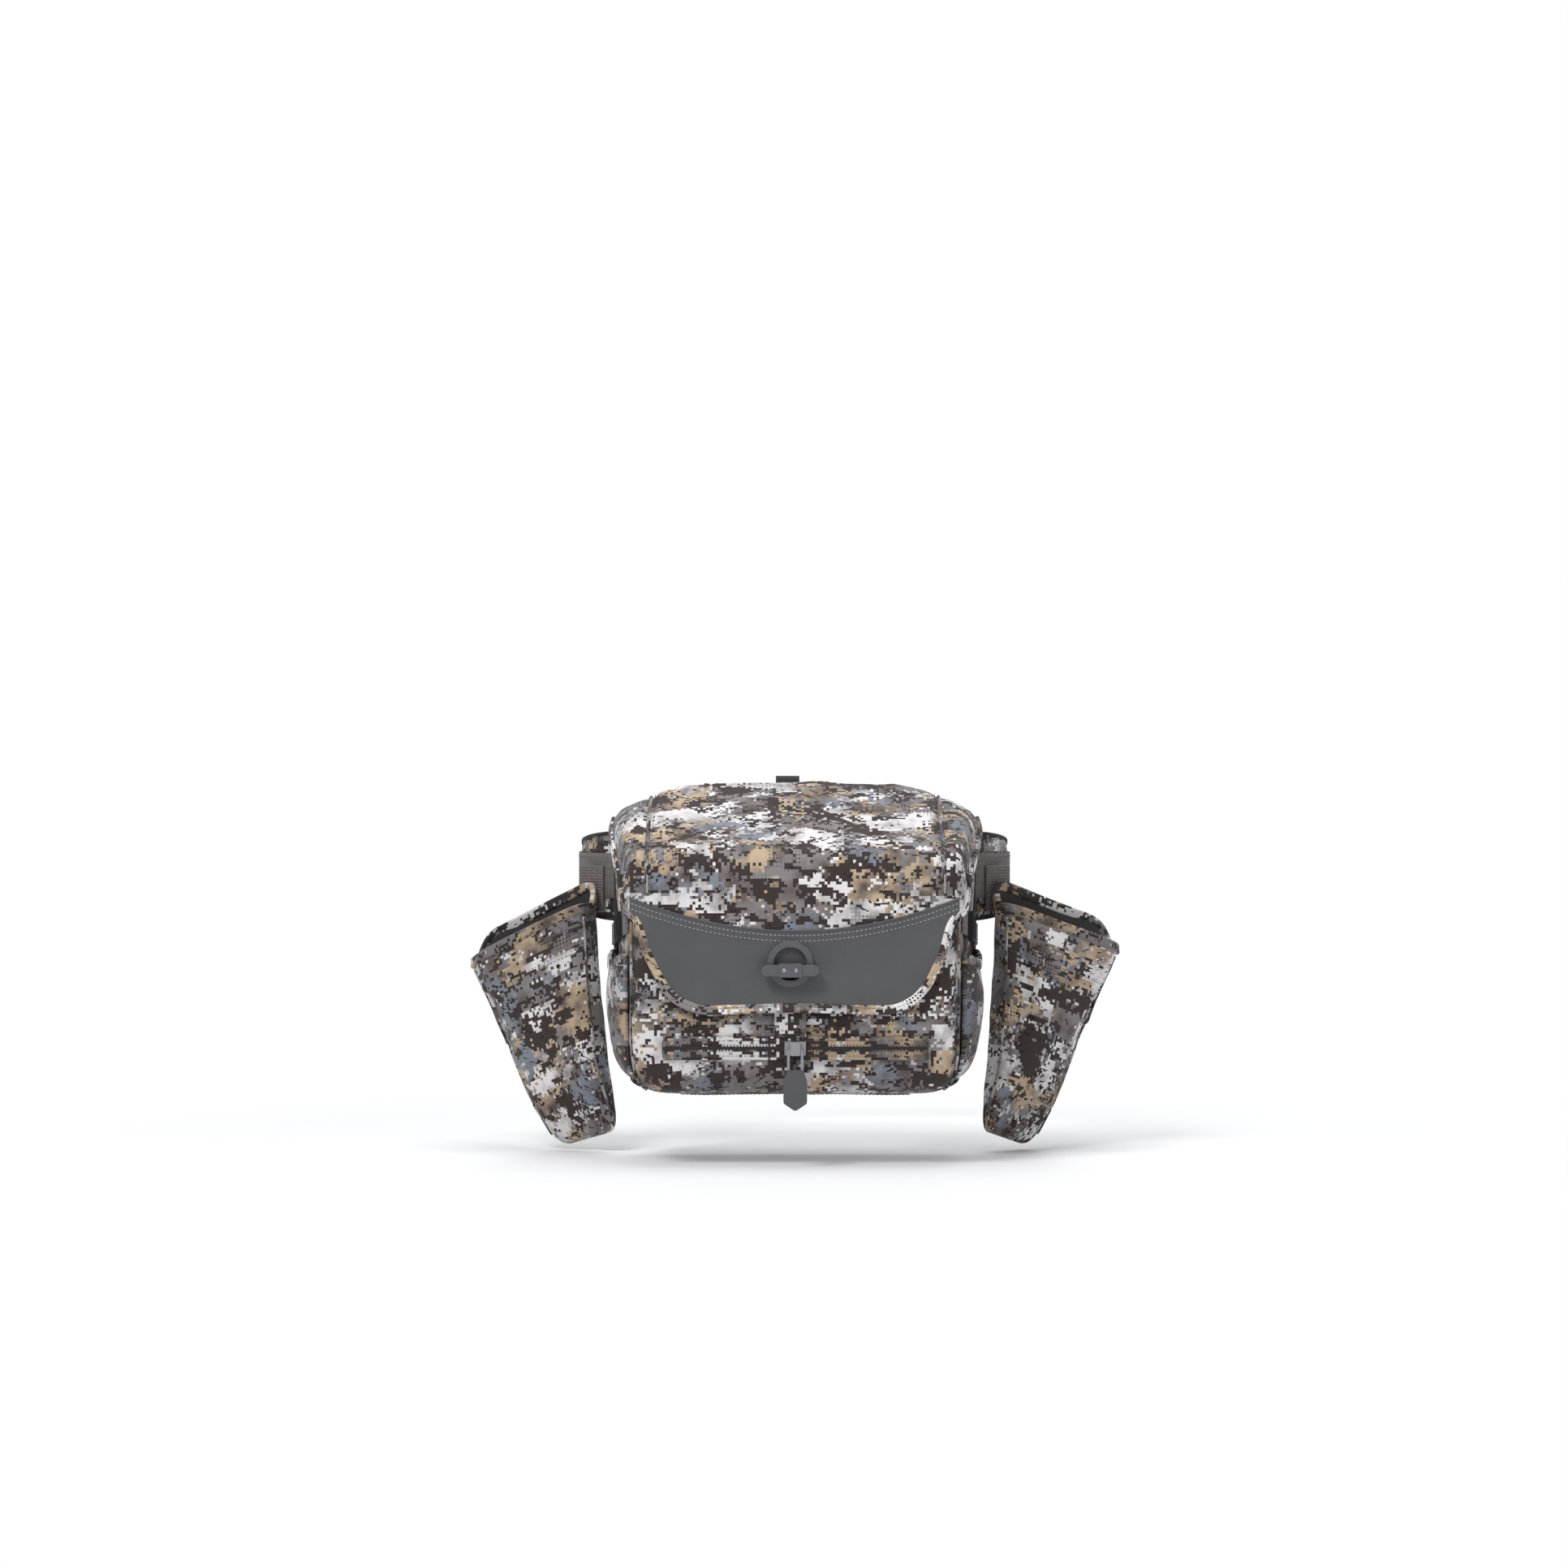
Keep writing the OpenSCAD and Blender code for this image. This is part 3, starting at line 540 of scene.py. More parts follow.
class Builder:
    """Makes named mesh pieces and keeps them for the last report.

    Attributes:
        finishes: the finishes to use.
        pieces: every object made.
    """

    def __init__(self, finishes: Finishes) -> None:
        """Keeps the finishes.

        Args:
            finishes: the finishes to use.
        """
        self.finishes = finishes
        self.pieces: list[bpy.types.Object] = []

    def add(self, name: str, bm: bmesh.types.BMesh, finish, body: Optional[str], slot: Optional[str],
            smooth_shade: bool = True) -> bpy.types.Object:
        """Turns a bmesh into an object that rides on a body.

        Args:
            name: the piece's name.
            bm: the mesh, in metres; it is freed.
            finish: a material, or a finish's key.
            body: the body it rides on, or None to tie it later.
            slot: the record's material slot; not used.
            smooth_shade: whether faces are shaded smooth.

        Returns:
            The object.
        """
        mesh = bpy.data.meshes.new(name)
        bm.to_mesh(mesh)
        bm.free()
        obj = bpy.data.objects.new(name, mesh)
        bpy.context.scene.collection.objects.link(obj)
        mesh.materials.append(self.finishes[finish] if isinstance(finish, str) else finish)
        for face in mesh.polygons:
            face.use_smooth = smooth_shade
        if body:
            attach(obj, body)
        self.pieces.append(obj)
        LOG.info("%s: %d faces", name, len(mesh.polygons))
        return obj

    def modify(self, obj: bpy.types.Object, kind: str, **values) -> bpy.types.Object:
        """Adds a modifier to an object.

        Args:
            obj: the object.
            kind: SOLIDIFY, BEVEL or SUBSURF.
            values: its settings.

        Returns:
            The object.
        """
        made = obj.modifiers.new(kind.title(), kind)
        for key, value in values.items():
            setattr(made, key, value)
        return obj

    def thicken(self, obj: bpy.types.Object, thickness: float, offset: float = -1.0, rounding: int = 1,
                inside: Optional[str] = None) -> bpy.types.Object:
        """Gives a sheet its thickness, with rounded edges.

        Args:
            obj: the sheet.
            thickness: in metres.
            offset: -1 grows inward, 1 outward.
            rounding: subdivision level.
            inside: finish of the inner face, if it has its own.

        Returns:
            The object.
        """
        if inside:
            obj.data.materials.append(self.finishes[inside])
        self.modify(obj, "SOLIDIFY", thickness=thickness, offset=offset, material_offset=1 if inside else 0)
        if rounding:
            self.modify(obj, "SUBSURF", levels=rounding, render_levels=rounding)
        return obj


def sheet_mesh(points: Array, uv: Array, out: Optional[Array] = None, wrap: bool = False) -> bmesh.types.BMesh:
    """Makes a grid and lays it over places.

    Args:
        points: rows x columns x 3 places in metres.
        uv: rows x columns x 2 cloth coordinates in metres.
        out: rows x columns x 3 directions the faces should look, if known.
        wrap: whether the last column meets the first one.

    Returns:
        The mesh, its normals facing one way.
    """
    rows, columns = points.shape[:2]
    bm = bmesh.new()
    bmesh.ops.create_grid(bm, x_segments=columns - 1, y_segments=rows - 1, size=1.0)
    layer = bm.loops.layers.uv.new("cloth")
    bm.verts.ensure_lookup_table()
    spots = []
    for vert in bm.verts:
        i = round((vert.co.y + 1) / 2 * (rows - 1))
        j = round((vert.co.x + 1) / 2 * (columns - 1))
        spots.append((i, j))
        vert.co = Vector(points[i, j].tolist())
    for face in bm.faces:
        for loop in face.loops:
            i, j = spots[loop.vert.index]
            loop[layer].uv = uv[i, j].tolist()
    if wrap:
        bmesh.ops.remove_doubles(bm, verts=bm.verts, dist=2e-5)
    if out is not None:
        i, j = rows // 2, columns // 2
        normal = np.cross(points[i, j + 1] - points[i, j], points[i + 1, j] - points[i, j])
        if normal @ out[i, j] < 0:
            bmesh.ops.reverse_faces(bm, faces=bm.faces)
    return bm


def lengths(points: Array) -> Array:
    """Returns the running length along the last axis of points."""
    steps = np.linalg.norm(np.diff(points, axis=-2), axis=-1)
    return np.concatenate([np.zeros(points.shape[:-2] + (1,)), np.cumsum(steps, axis=-1)], axis=-1)


def resample(path: Sequence, count: int) -> Array:
    """Returns evenly spaced places along a path."""
    path = np.asarray(path, float)
    run = lengths(path)
    want = np.linspace(0, run[-1], count)
    return np.stack([np.interp(want, run, path[:, k]) for k in range(path.shape[1])], axis=-1)


def curved(path: Sequence, count: int, turns: int = 3) -> Array:
    """Returns a path with its corners rounded off, evenly spaced."""
    path = np.asarray(path, float)
    for _ in range(turns):
        quarter = 0.75 * path[:-1] + 0.25 * path[1:]
        three = 0.25 * path[:-1] + 0.75 * path[1:]
        mixed = np.stack([quarter, three], axis=1).reshape(-1, path.shape[1])
        path = np.concatenate([path[:1], mixed, path[-1:]])
    return resample(path, count)


def ribbon(path: Array, normal: Array, width, thickness: float, rounded: float = 0.0006,
           across: int = 4) -> bmesh.types.BMesh:
    """Makes a flat tape along a path, as one closed body with its own coordinates.

    Args:
        path: N x 3 places in metres.
        normal: N x 3 outward directions.
        width: full width in metres, one value or N values.
        thickness: in metres.
        rounded: how far the edges are bevelled.
        across: quads over the width.

    Returns:
        The mesh.
    """
    path, normal = np.asarray(path, float), unit(np.asarray(normal, float))
    tangent = unit(np.gradient(path, axis=0))
    cross = unit(np.cross(normal, tangent))
    half = np.broadcast_to(np.asarray(width, float) / 2, (len(path),))
    steps = np.linspace(-1, 1, across + 1)
    lip = rounded / max(float(half.mean()), 1e-6)
    loop_u = np.concatenate([steps * (1 - lip), [1.0, 1.0], steps[::-1] * (1 - lip), [-1.0, -1.0]])
    loop_h = np.concatenate([np.ones(across + 1), [0.7, -0.7], -np.ones(across + 1), [-0.7, 0.7]]) * thickness / 2
    loop_u, loop_h = np.append(loop_u, loop_u[0]), np.append(loop_h, loop_h[0])
    points = (path[:, None] + cross[:, None] * (half[:, None] * loop_u)[..., None]
              + normal[:, None] * loop_h[None, :, None])
    run = lengths(path)
    uv = np.stack(np.broadcast_arrays(run[:, None], half[:, None] * loop_u[None]), axis=-1)
    bm = sheet_mesh(points, uv, wrap=True)
    cap_ends(bm)
    return bm


def cap_ends(bm: bmesh.types.BMesh) -> None:
    """Fills open rims and turns every face outward."""
    rims = [e for e in bm.edges if e.is_boundary]
    if rims:
        bmesh.ops.holes_fill(bm, edges=rims, sides=0)
    bmesh.ops.recalc_face_normals(bm, faces=bm.faces)


def cord_mesh(path: Array, radius: float, segments: int = 8) -> bmesh.types.BMesh:
    """Makes a round cord along a path.

    Args:
        path: N x 3 places in metres.
        radius: in metres.
        segments: sides round the cord.

    Returns:
        The mesh.
    """
    path = np.asarray(path, float)
    tangent = unit(np.gradient(path, axis=0))
    frame = np.zeros_like(path)
    guess = np.array([0.0, 0.0, 1.0]) if abs(tangent[0][2]) < 0.9 else np.array([1.0, 0.0, 0.0])
    for i, way in enumerate(tangent):
        guess = unit(guess - way * (guess @ way))
        frame[i] = guess
    other = np.cross(tangent, frame)
    turn = np.linspace(0, 2 * math.pi, segments + 1)
    points = path[:, None] + radius * (frame[:, None] * np.cos(turn)[None, :, None]
                                       + other[:, None] * np.sin(turn)[None, :, None])
    uv = np.stack(np.broadcast_arrays(lengths(path)[:, None], (turn * radius)[None]), axis=-1)
    bm = sheet_mesh(points, uv, wrap=True)
    cap_ends(bm)
    return bm


def stitches(path: Array, normal: Array, pitch: float = 0.0034, length: float = 0.0024,
             width: float = 0.0007) -> bmesh.types.BMesh:
    """Makes a row of small thread stitches lying on cloth.

    Args:
        path: N x 3 places in metres.
        normal: N x 3 outward directions.
        pitch: distance between stitches.
        length: length of one stitch.
        width: width of the thread.

    Returns:
        The mesh.
    """
    count = max(2, int(lengths(np.asarray(path))[-1] / pitch))
    spots, ups = resample(path, count), unit(resample(normal, count))
    ways = unit(np.gradient(spots, axis=0))
    bm = bmesh.new()
    for spot, up, way in zip(spots, ups, ways):
        side = np.cross(up, way)
        turn = Matrix(np.stack([way, side, up], axis=1).tolist()).to_4x4()
        shape = Matrix.Diagonal((length / 2, width / 2, width / 2.4, 1))
        bmesh.ops.create_icosphere(bm, subdivisions=1, radius=1.0,
                                   matrix=Matrix.Translation(spot.tolist()) @ turn @ shape)
    return bm


# ---------------------------------------------------------------- the bag


@dataclass
class Hood:
    """The lid: one cloth from the hinge over the slope, round the shoulders and down the front.

    Attributes:
        builder: makes the pieces.
        form: the filled bag.
        grow: outer face over the form.
        cloth: thickness of the cloth.
        cover: how far the coated panel lies over the cloth.
        hinge_y, hinge_z: rear top edge.
        slope_end: where the slope meets the front, as y and z.
        flap_z: lower end of the flap.
        core_x: half width of the flat middle.
        reach: how deep under the cloth the casting rays start.
        seam_x: half distance of the two piped seams.
        smile_low, smile_rise, smile_x: the panel's curved upper edge.
        rows, columns: places down and across the cloth.
    """

    builder: Builder
    form: SoftForm = field(default_factory=SoftForm)
    grow: float = 0.0035
    cloth: float = 0.0026
    cover: float = 0.0012
    hinge_y: float = -0.1293
    hinge_z: float = 0.0745
    slope_end: tuple[float, float] = (-0.2586, 0.0175)
    flap_z: float = -0.1055
    core_x: float = 0.08
    reach: float = 0.058
    seam_x: float = 0.119
    smile_low: float = -0.041
    smile_rise: float = 0.027
    smile_x: float = 0.133
    rows: int = 92
    columns: int = 112

    def edge(self, points: Array) -> Array:
        """Returns how far points lie above the hood's lower edge.

        Args:
            points: places in metres.

        Returns:
            Positive over the edge, negative under it.
        """
        x, y, z = np.abs(points[..., 0]), points[..., 1], points[..., 2]
        girth = np.where(y < -0.24, np.minimum(x, 0.131), 0.131 + np.maximum(0, y + 0.24) * 1.0)
        table = np.array([(0.0, -0.1055), (0.078, -0.1055), (0.095, -0.1), (0.11, -0.084), (0.122, -0.058),
                          (0.129, -0.032), (0.136, -0.014), (0.165, 0.0), (0.2, 0.022), (0.242, 0.044)])
        return z - np.interp(girth, table[:, 0], table[:, 1])

    def profile(self, b: Array) -> tuple[Array, Array]:
        """Returns the middle line's places and casting directions for b in 0..1."""
        (fy, fz), r = self.slope_end, 0.03
        slope = unit(np.array([0, fy - self.hinge_y, fz - self.hinge_z]))
        corner = np.array([0, fy, fz])
        path = [np.array([0, self.hinge_y, self.hinge_z]), corner - slope * r, corner, corner + np.array([0, 0, -r]),
                np.array([0, fy, self.flap_z])]
        fine = np.concatenate([resample(path[:2], 60), curved(path[1:4], 40, 4)[1:], resample(path[3:], 50)[1:]])
        run = lengths(fine)
        want = b * run[-1]
        place = np.stack([np.interp(want, run, fine[:, k]) for k in range(3)], axis=-1)
        step = unit(np.gradient(place, axis=0))
        way = np.stack([0 * b, step[:, 2], -step[:, 1]], axis=-1)
        level = smooth(b, 0.0, 0.25)[:, None]
        way = unit(np.array([0, 0, 1.0]) * (1 - level) + way * level)
        return place, way

    def grid(self) -> tuple[Array, Array, Array]:
        """Returns the hood's places, outward directions and cloth coordinates."""
        b = np.linspace(0, 1, self.rows)
        place, way = self.profile(b)
        start = place - way * self.reach
        s = np.linspace(0, 1, 240)
        x0 = self.core_x * np.minimum(1, 2 * s)
        theta = np.maximum(0, 2 * s - 1) * math.radians(128)
        first = np.repeat(start[:, None], len(s), axis=1).copy()
        first[..., 0] = x0
        rays = way[:, None] * np.cos(theta)[None, :, None] + np.array([1.0, 0, 0]) * np.sin(theta)[None, :, None]
        hit = self.form.cast(first, rays, self.grow)
        over = self.edge(hit)
        half = self.columns // 2
        points = np.zeros((self.rows, 2 * half + 1, 3))
        ways = np.zeros_like(points)
        uv = np.zeros((self.rows, 2 * half + 1, 2))
        down = lengths(place)
        for i in range(self.rows):
            end = int(np.argmax(over[i] < 0)) or len(s) - 1
            row, ray = hit[i, :end + 1].copy(), rays[i, :end + 1]
            if over[i, end] < 0:
                part = over[i, end - 1] / (over[i, end - 1] - over[i, end])
                row[-1] = row[-2] + part * (row[-1] - row[-2])
            run = lengths(row)
            want = np.linspace(0, run[-1], half + 1)
            for k in range(3):
                points[i, half:, k] = np.interp(want, run, row[:, k])
                ways[i, half:, k] = np.interp(want, run, ray[:, k])
            uv[i, half:, 0] = want
            uv[i, :, 1] = -down[i]
        points[:, :half], ways[:, :half] = points[:, :half:-1], ways[:, :half:-1]
        points[:, :half, 0] *= -1
        ways[:, :half, 0] *= -1
        uv[:, :half, 0] = -uv[:, :half:-1, 0]
        return points, unit(ways), uv

    def settle(self, points: Array, ways: Array) -> Array:
        """Returns how far each place of the lid moves in or out, as cloth does once it is in use."""
        x, y, z = points[..., 0], points[..., 1], points[..., 2]
        sag = 0.0018 * ripple(points, 0.06, 3.0) + 0.0008 * ripple(points, 0.024, 8.0)
        crumple = 0.0009 * (1 - np.abs(ripple(points, 0.03, 5.0)) * 3).clip(-0.4, 1) * smooth(z, -0.02, 0.03)
        seam = -0.0024 * np.exp(-((np.abs(x) - self.seam_x) / 0.0042) ** 2) * smooth(z, -0.016, 0.0)
        folds = sum(depth * crease(points, a, b, width) for a, b, width, depth in (
            ((-0.118, -0.2, 0.05), (-0.06, -0.25, 0.0), 0.006, -0.0016),
            ((0.118, -0.19, 0.055), (0.05, -0.235, 0.028), 0.007, -0.0016),
            ((-0.03, -0.17, 0.06), (0.04, -0.21, 0.045), 0.009, -0.0012),
            ((0.146, -0.16, 0.04), (0.134, -0.235, 0.0), 0.007, -0.0015),
            ((-0.146, -0.17, 0.05), (-0.13, -0.24, 0.0), 0.008, 0.0012)))
        pull = -0.0015 * crease(points, (-0.004, -0.262, -0.06), (-0.004, -0.262, -0.104), 0.014)
        return sag + crumple + seam + folds + pull

    def build(self) -> None:
        """Makes the hood, its seams, the front panel and the bound edge."""
        points, ways, uv = self.grid()
        points = points + ways * self.settle(points, ways)[..., None]
        make = self.builder
        cloth = make.finishes.camo("hood", (0.31, 0.12, 0.0))
        hood = make.add("lid_cloth", sheet_mesh(points, uv, ways), cloth, "lid", "camo")
        make.thicken(hood, self.cloth, inside="lining")
        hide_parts("lid_top", "lid_gusset_left", "lid_gusset_right", "lid_flap")
        self.pipe(points, ways)
        self.bind(points, ways)
        self.panel()

    def pipe(self, points: Array, ways: Array) -> None:
        """Makes the piping and stitching on the two long seams."""
        for side in Side:
            path, ups = [], []
            for row, up in zip(points, ways):
                order = np.argsort(side.value * row[:, 0])
                if (side.value * row[:, 0]).max() < self.seam_x:
                    continue
                keep = [np.interp(self.seam_x, side.value * row[order, 0], row[order, k]) for k in range(3)]
                if keep[2] < -0.012:
                    break
                path.append(keep)
                ups.append([np.interp(self.seam_x, side.value * row[order, 0], up[order, k]) for k in range(3)])
            path, ups = resample(path, 90), unit(resample(ups, 90))
            self.builder.add("lid_piping_" + side.word, cord_mesh(path + ups * 0.0006, 0.0017),
                             self.builder.finishes.piping(), "lid", "camo_binding")
            inward = np.cross(ups, unit(np.gradient(path, axis=0)))
            inward *= np.sign(-side.value * inward[:, :1])
            self.builder.add("lid_seam_thread_" + side.word, stitches(path + inward * 0.0042 + ups * 0.0004, ups),
                             "thread", "lid", "camo_binding")

    def bind(self, points: Array, ways: Array) -> None:
        """Makes the tape sewn round the hood's lower edge, with its stitching."""
        def ring(inset: float) -> tuple[Array, Array]:
            """Returns the edge path moved inward, and its normals."""
            left = points[:, 0] + inset * unit(points[:, 3] - points[:, 0])
            low = points[-1] + inset * unit(points[-4] - points[-1])
            right = points[:, -1] + inset * unit(points[:, -4] - points[:, -1])
            path = np.concatenate([left[:-3], low[3:-3], right[:-3][::-1]])
            ups = np.concatenate([ways[:-3, 0], ways[-1, 3:-3], ways[:-3, -1][::-1]])
            return resample(path, 420), unit(resample(ups, 420))
        path, ups = ring(0.0032)
        path = eased(path)
        tape = self.builder.add("flap_edge_tape", ribbon(path - ups * 0.0003, ups, 0.0076, 0.0054, 0.0012, 4),
                                self.builder.finishes.camo("edge", (0.1, 0.8, 0), 1.12), "lid", "camo_binding")
        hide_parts("flap_binding")
        line, ups = ring(0.0056)
        self.builder.add("flap_edge_thread", stitches(eased(line) + ups * 0.0025, ups), "thread", "lid", "camo_binding")

    def front(self, t: Array, z: Array, grow) -> tuple[Array, Array]:
        """Returns places and directions on the front for t in -1..1 and a height."""
        t, z = np.broadcast_arrays(t, z)
        theta = np.maximum(0, np.abs(t) - 0.5) * 2 * math.radians(72) * np.sign(t)
        start = np.stack([self.core_x * np.clip(2 * t, -1, 1), 0 * t + self.slope_end[0] + self.reach, z], axis=-1)
        way = np.stack([np.sin(theta), -np.cos(theta), 0 * t], axis=-1)
        return self.form.cast(start, way, grow), way

    def panel(self) -> None:
        """Makes the coated panel that covers the flap, with a stitched curved upper edge."""
        t = np.linspace(0, 0.93, 200)
        probe, _ = self.front(t, 0 * t - 0.03, self.grow)
        limit = float(np.interp(self.smile_x - 0.0015, np.maximum.accumulate(probe[:, 0]), t))
        t = np.linspace(-limit, limit, 141)
        probe, _ = self.front(t, 0 * t - 0.05, self.grow)
        x = np.abs(probe[:, 0])
        top = self.smile_low + self.smile_rise * (x / self.smile_x) ** 2
        girth = np.array([[0.0, -0.1003], [0.078, -0.1003], [0.0925, -0.0965], [0.106, -0.0815], [0.1175, -0.0575],
                          [0.125, -0.034], [0.134, -0.02]])
        low = np.interp(x, girth[:, 0], girth[:, 1])
        share = np.linspace(0, 1, 56)[:, None]
        z = top * (1 - share) + low * share
        points, ways = self.front(t[None] + 0 * z, z, self.grow + self.cover)
        points = points + ways * self.settle(points, ways)[..., None]
        dimple = crease(points, (-0.09, -0.262, -0.05), (-0.02, -0.262, -0.075), 0.02)
        dimple = dimple + crease(points, (0.02, -0.262, -0.078), (0.1, -0.262, -0.05), 0.02)
        waves = 0.0010 * ripple(points, 0.036, 12.0) - 0.0014 * dimple
        points = points + ways * waves[..., None]
        uv = np.stack([np.broadcast_to(lengths(probe), z.shape), z], axis=-1)
        face = self.builder.add("flap_cover", sheet_mesh(points, uv, ways), "laminate", "lid", "laminate")
        self.builder.thicken(face, 0.0014, -0.4)
        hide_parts("flap_panel")
        rim, ups = points[0], ways[0]
        hem = cord_mesh(resample(rim, 160) + 0.0002 * resample(ups, 160), 0.0009)
        self.builder.add("flap_cover_hem", hem, "laminate", "lid", "laminate")
        for number, drop in enumerate((0.0035, 0.0078)):
            line = rim + np.array([0, 0, -drop]) + ups * 0.0007
            self.builder.add(f"flap_cover_thread_{number}", stitches(line, ups, 0.0034, 0.0025, 0.001), "light_thread",
                             "lid", "laminate")


@dataclass
class BagShell:
    """The bag under the lid: wrapped wall cloth, side pockets, front strap and zip line.

    Attributes:
        builder: makes the pieces.
        form: the filled bag.
        core_x: half width of the flat middle.
        core_y: where the casting rays of the front start.
        rear_y: rear end of the side walls.
        base_z: underside.
        low_reach: height over the base where the wall starts to turn under.
        pocket_y: front and rear ends of a side pocket.
        pocket_z: lower and upper ends of a side pocket.
        bulge: how far a side pocket stands out.
        inner_y, shelf_z: the wall and the shelf behind the front pocket.
        zip_y, zip_z: the front pocket's zip line.
        zip_half: half length of its tapes.
    """

    builder: Builder
    form: SoftForm = field(default_factory=SoftForm)
    core_x: float = 0.08
    core_y: float = -0.2
    rear_y: float = -0.1322
    base_z: float = -0.175
    low_reach: float = 0.04
    pocket_y: tuple[float, float] = (-0.2366, -0.1426)
    pocket_z: tuple[float, float] = (-0.162, -0.062)
    bulge: float = 0.012
    inner_y: float = -0.2416
    shelf_z: float = -0.0056
    zip_y: float = -0.25905
    zip_z: float = -0.135
    zip_half: float = 0.106

    def wall(self, t: Array, v: Array, grow=0.0) -> tuple[Array, Array]:
        """Returns places and directions on the wall.

        Args:
            t: -1..1 from the rear left end round the front to the rear right end.
            v: height in metres; under base_z + low_reach it turns under the bag.
            grow: distance over the form.

        Returns:
            The places and the casting directions.
        """
        t, v = np.broadcast_arrays(t, v)
        sign, size = np.sign(t), np.abs(t)
        theta = np.clip((size - 0.42) / 0.22, 0, 1) * math.radians(90)
        back = np.clip((size - 0.64) / 0.36, 0, 1)
        turn = self.base_z + self.low_reach
        phi = np.clip((turn - v) / self.low_reach, 0, 1) * math.radians(86)
        start = np.stack([self.core_x * np.clip(t / 0.42, -1, 1), self.core_y + back * (self.rear_y - self.core_y),
                          np.maximum(v, turn)], axis=-1)
        flat = np.stack([np.sin(theta) * sign, -np.cos(theta), 0 * t], axis=-1)
        way = flat * np.cos(phi)[..., None] + np.array([0, 0, -1.0]) * np.sin(phi)[..., None]
        return self.form.cast(start, way, grow), way

    def build(self) -> None:
        """Makes every piece of the bag's shell."""
        t = np.linspace(-1, 1, 260)[None]
        probe, _ = self.wall(t, -0.05 + 0 * t, 0.0)
        top = 0.0745 - 0.4408 * (-0.1293 - probe[..., 1]) - 0.0045
        share = np.linspace(0, 1, 80)[:, None]
        v = np.concatenate([top * (1 - share) - 0.134 * share,
                            np.broadcast_to(np.linspace(-0.1365, -0.175, 30)[:, None], (30, t.shape[1]))])
        points, ways = self.wall(t, v, -0.0006)
        z, x = points[..., 2], points[..., 0]
        waves = 0.0021 * ripple(points, 0.052, 21.0) + 0.0008 * ripple(points, 0.022, 4.0)
        waves = waves * smooth(z, -0.178, -0.15)
        zip_line = -0.0014 * np.exp(-((z - self.zip_z) / 0.007) ** 2) * smooth(-np.abs(x), -0.125, -0.1)
        under = -0.0016 * crease(points, (-0.12, -0.258, -0.118), (0.0, -0.258, -0.128), 0.008)
        folds = sum(d * crease(points, a, b, w) for a, b, w, d in (
            ((0.15, -0.14, -0.05), (0.136, -0.235, -0.03), 0.006, -0.002),
            ((-0.15, -0.14, -0.045), (-0.136, -0.235, -0.035), 0.006, -0.002),
            ((0.12, -0.25, -0.11), (0.06, -0.258, -0.122), 0.006, -0.0015)))
        tuck = -0.0026 * smooth(z, -0.112, -0.104) * smooth(-points[..., 1], 0.22, 0.255)
        points = points + ways * (waves + zip_line + under + folds + tuck)[..., None]
        run, down = lengths(points[40]), lengths(points[:, 130])
        uv = np.stack(np.broadcast_arrays(run[None] - run[-1] / 2, -down[:, None] + 0 * v), axis=-1)
        cloth = self.builder.finishes.camo("bag", (0.05, 0.42, 0.0), 0.92)
        wall = self.builder.add("bag_cloth", sheet_mesh(points, uv, ways), cloth, "pack", "camo")
        self.builder.thicken(wall, 0.002, -1.0, 0, "lining")
        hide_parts("side_panel_left", "side_panel_right", "front_pocket")
        for side in Side:
            self.pocket(side)
            self.seam(side)
        self.base()
        self.inner()
        self.zip_tape()
        self.strap()

    def inner(self) -> None:
        """Makes the lined wall behind the front pocket and the shelf that closes the pocket."""
        z, y = np.linspace(0.0185, -0.163, 60), np.linspace(-0.2550, self.inner_y, 8)
        spans = (("wall", np.stack([0 * z, 0 * z + self.inner_y, z], axis=-1), (0, 1.0, 0)),
                 ("shelf", np.stack([0 * y, y, 0 * y + self.shelf_z], axis=-1), (0, 0, 1.0)))
        across = np.linspace(-1, 1, 41)[None]
        for name, spine, up in spans:
            half = self.form.cast(spine, np.tile([1.0, 0, 0], (len(spine), 1)), -0.0038)[:, :1]
            points = np.repeat(spine[:, None], 41, axis=1)
            points[..., 0] = half * across
            way = np.broadcast_to(np.array(up), points.shape)
            points = points + way * (0.0006 * ripple(points, 0.03, 71.0))[..., None]
            uv = np.stack([points[..., 0], points[..., 1] + points[..., 2]], axis=-1)
            piece = self.builder.add("pocket_inner_" + name, sheet_mesh(points, uv, way), "lining", "pack", "lining")
            self.builder.thicken(piece, 0.0028, -1.0, 0)
            if name == "wall":
                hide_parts("front_panel")

    def base(self) -> None:
        """Makes the cloth under the bag, inside the walls' turned-under edge."""
        x, y = np.meshgrid(np.linspace(-0.093, 0.093, 60), np.linspace(-0.213, self.rear_y, 30))
        points = np.stack([x, y, 0 * x + self.base_z - 0.0002], axis=-1)
        points[..., 2] += 0.0008 * ripple(points, 0.03, 61.0)
        sheet = sheet_mesh(points, points[..., :2], facing(points, 0, 0, -1))
        cloth = self.builder.finishes.camo("base", (0.4, 0.4, 0), 0.8)
        piece = self.builder.add("base_cloth", sheet, cloth, "pack", "camo")
        self.builder.thicken(piece, 0.002, -1.0, 0)
        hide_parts("base_panel")
        rim = np.concatenate([points[:, 0][::-1], points[0, 1:-1], points[:, -1]])
        self.builder.add("base_thread", stitches(rim, facing(rim, 0, 0, -1)), "thread", "pack", "camo")

    def seam(self, side: Side) -> None:
        """Makes the piped seam between a side wall and the front."""
        v = np.linspace(0.0, -0.15, 80)
        points, ways = self.wall(0 * v + side.value * 0.535, v, 0.0002)
        self.builder.add("bag_piping_" + side.word, cord_mesh(points, 0.0013),
                         self.builder.finishes.piping(), "pack", "camo_binding")

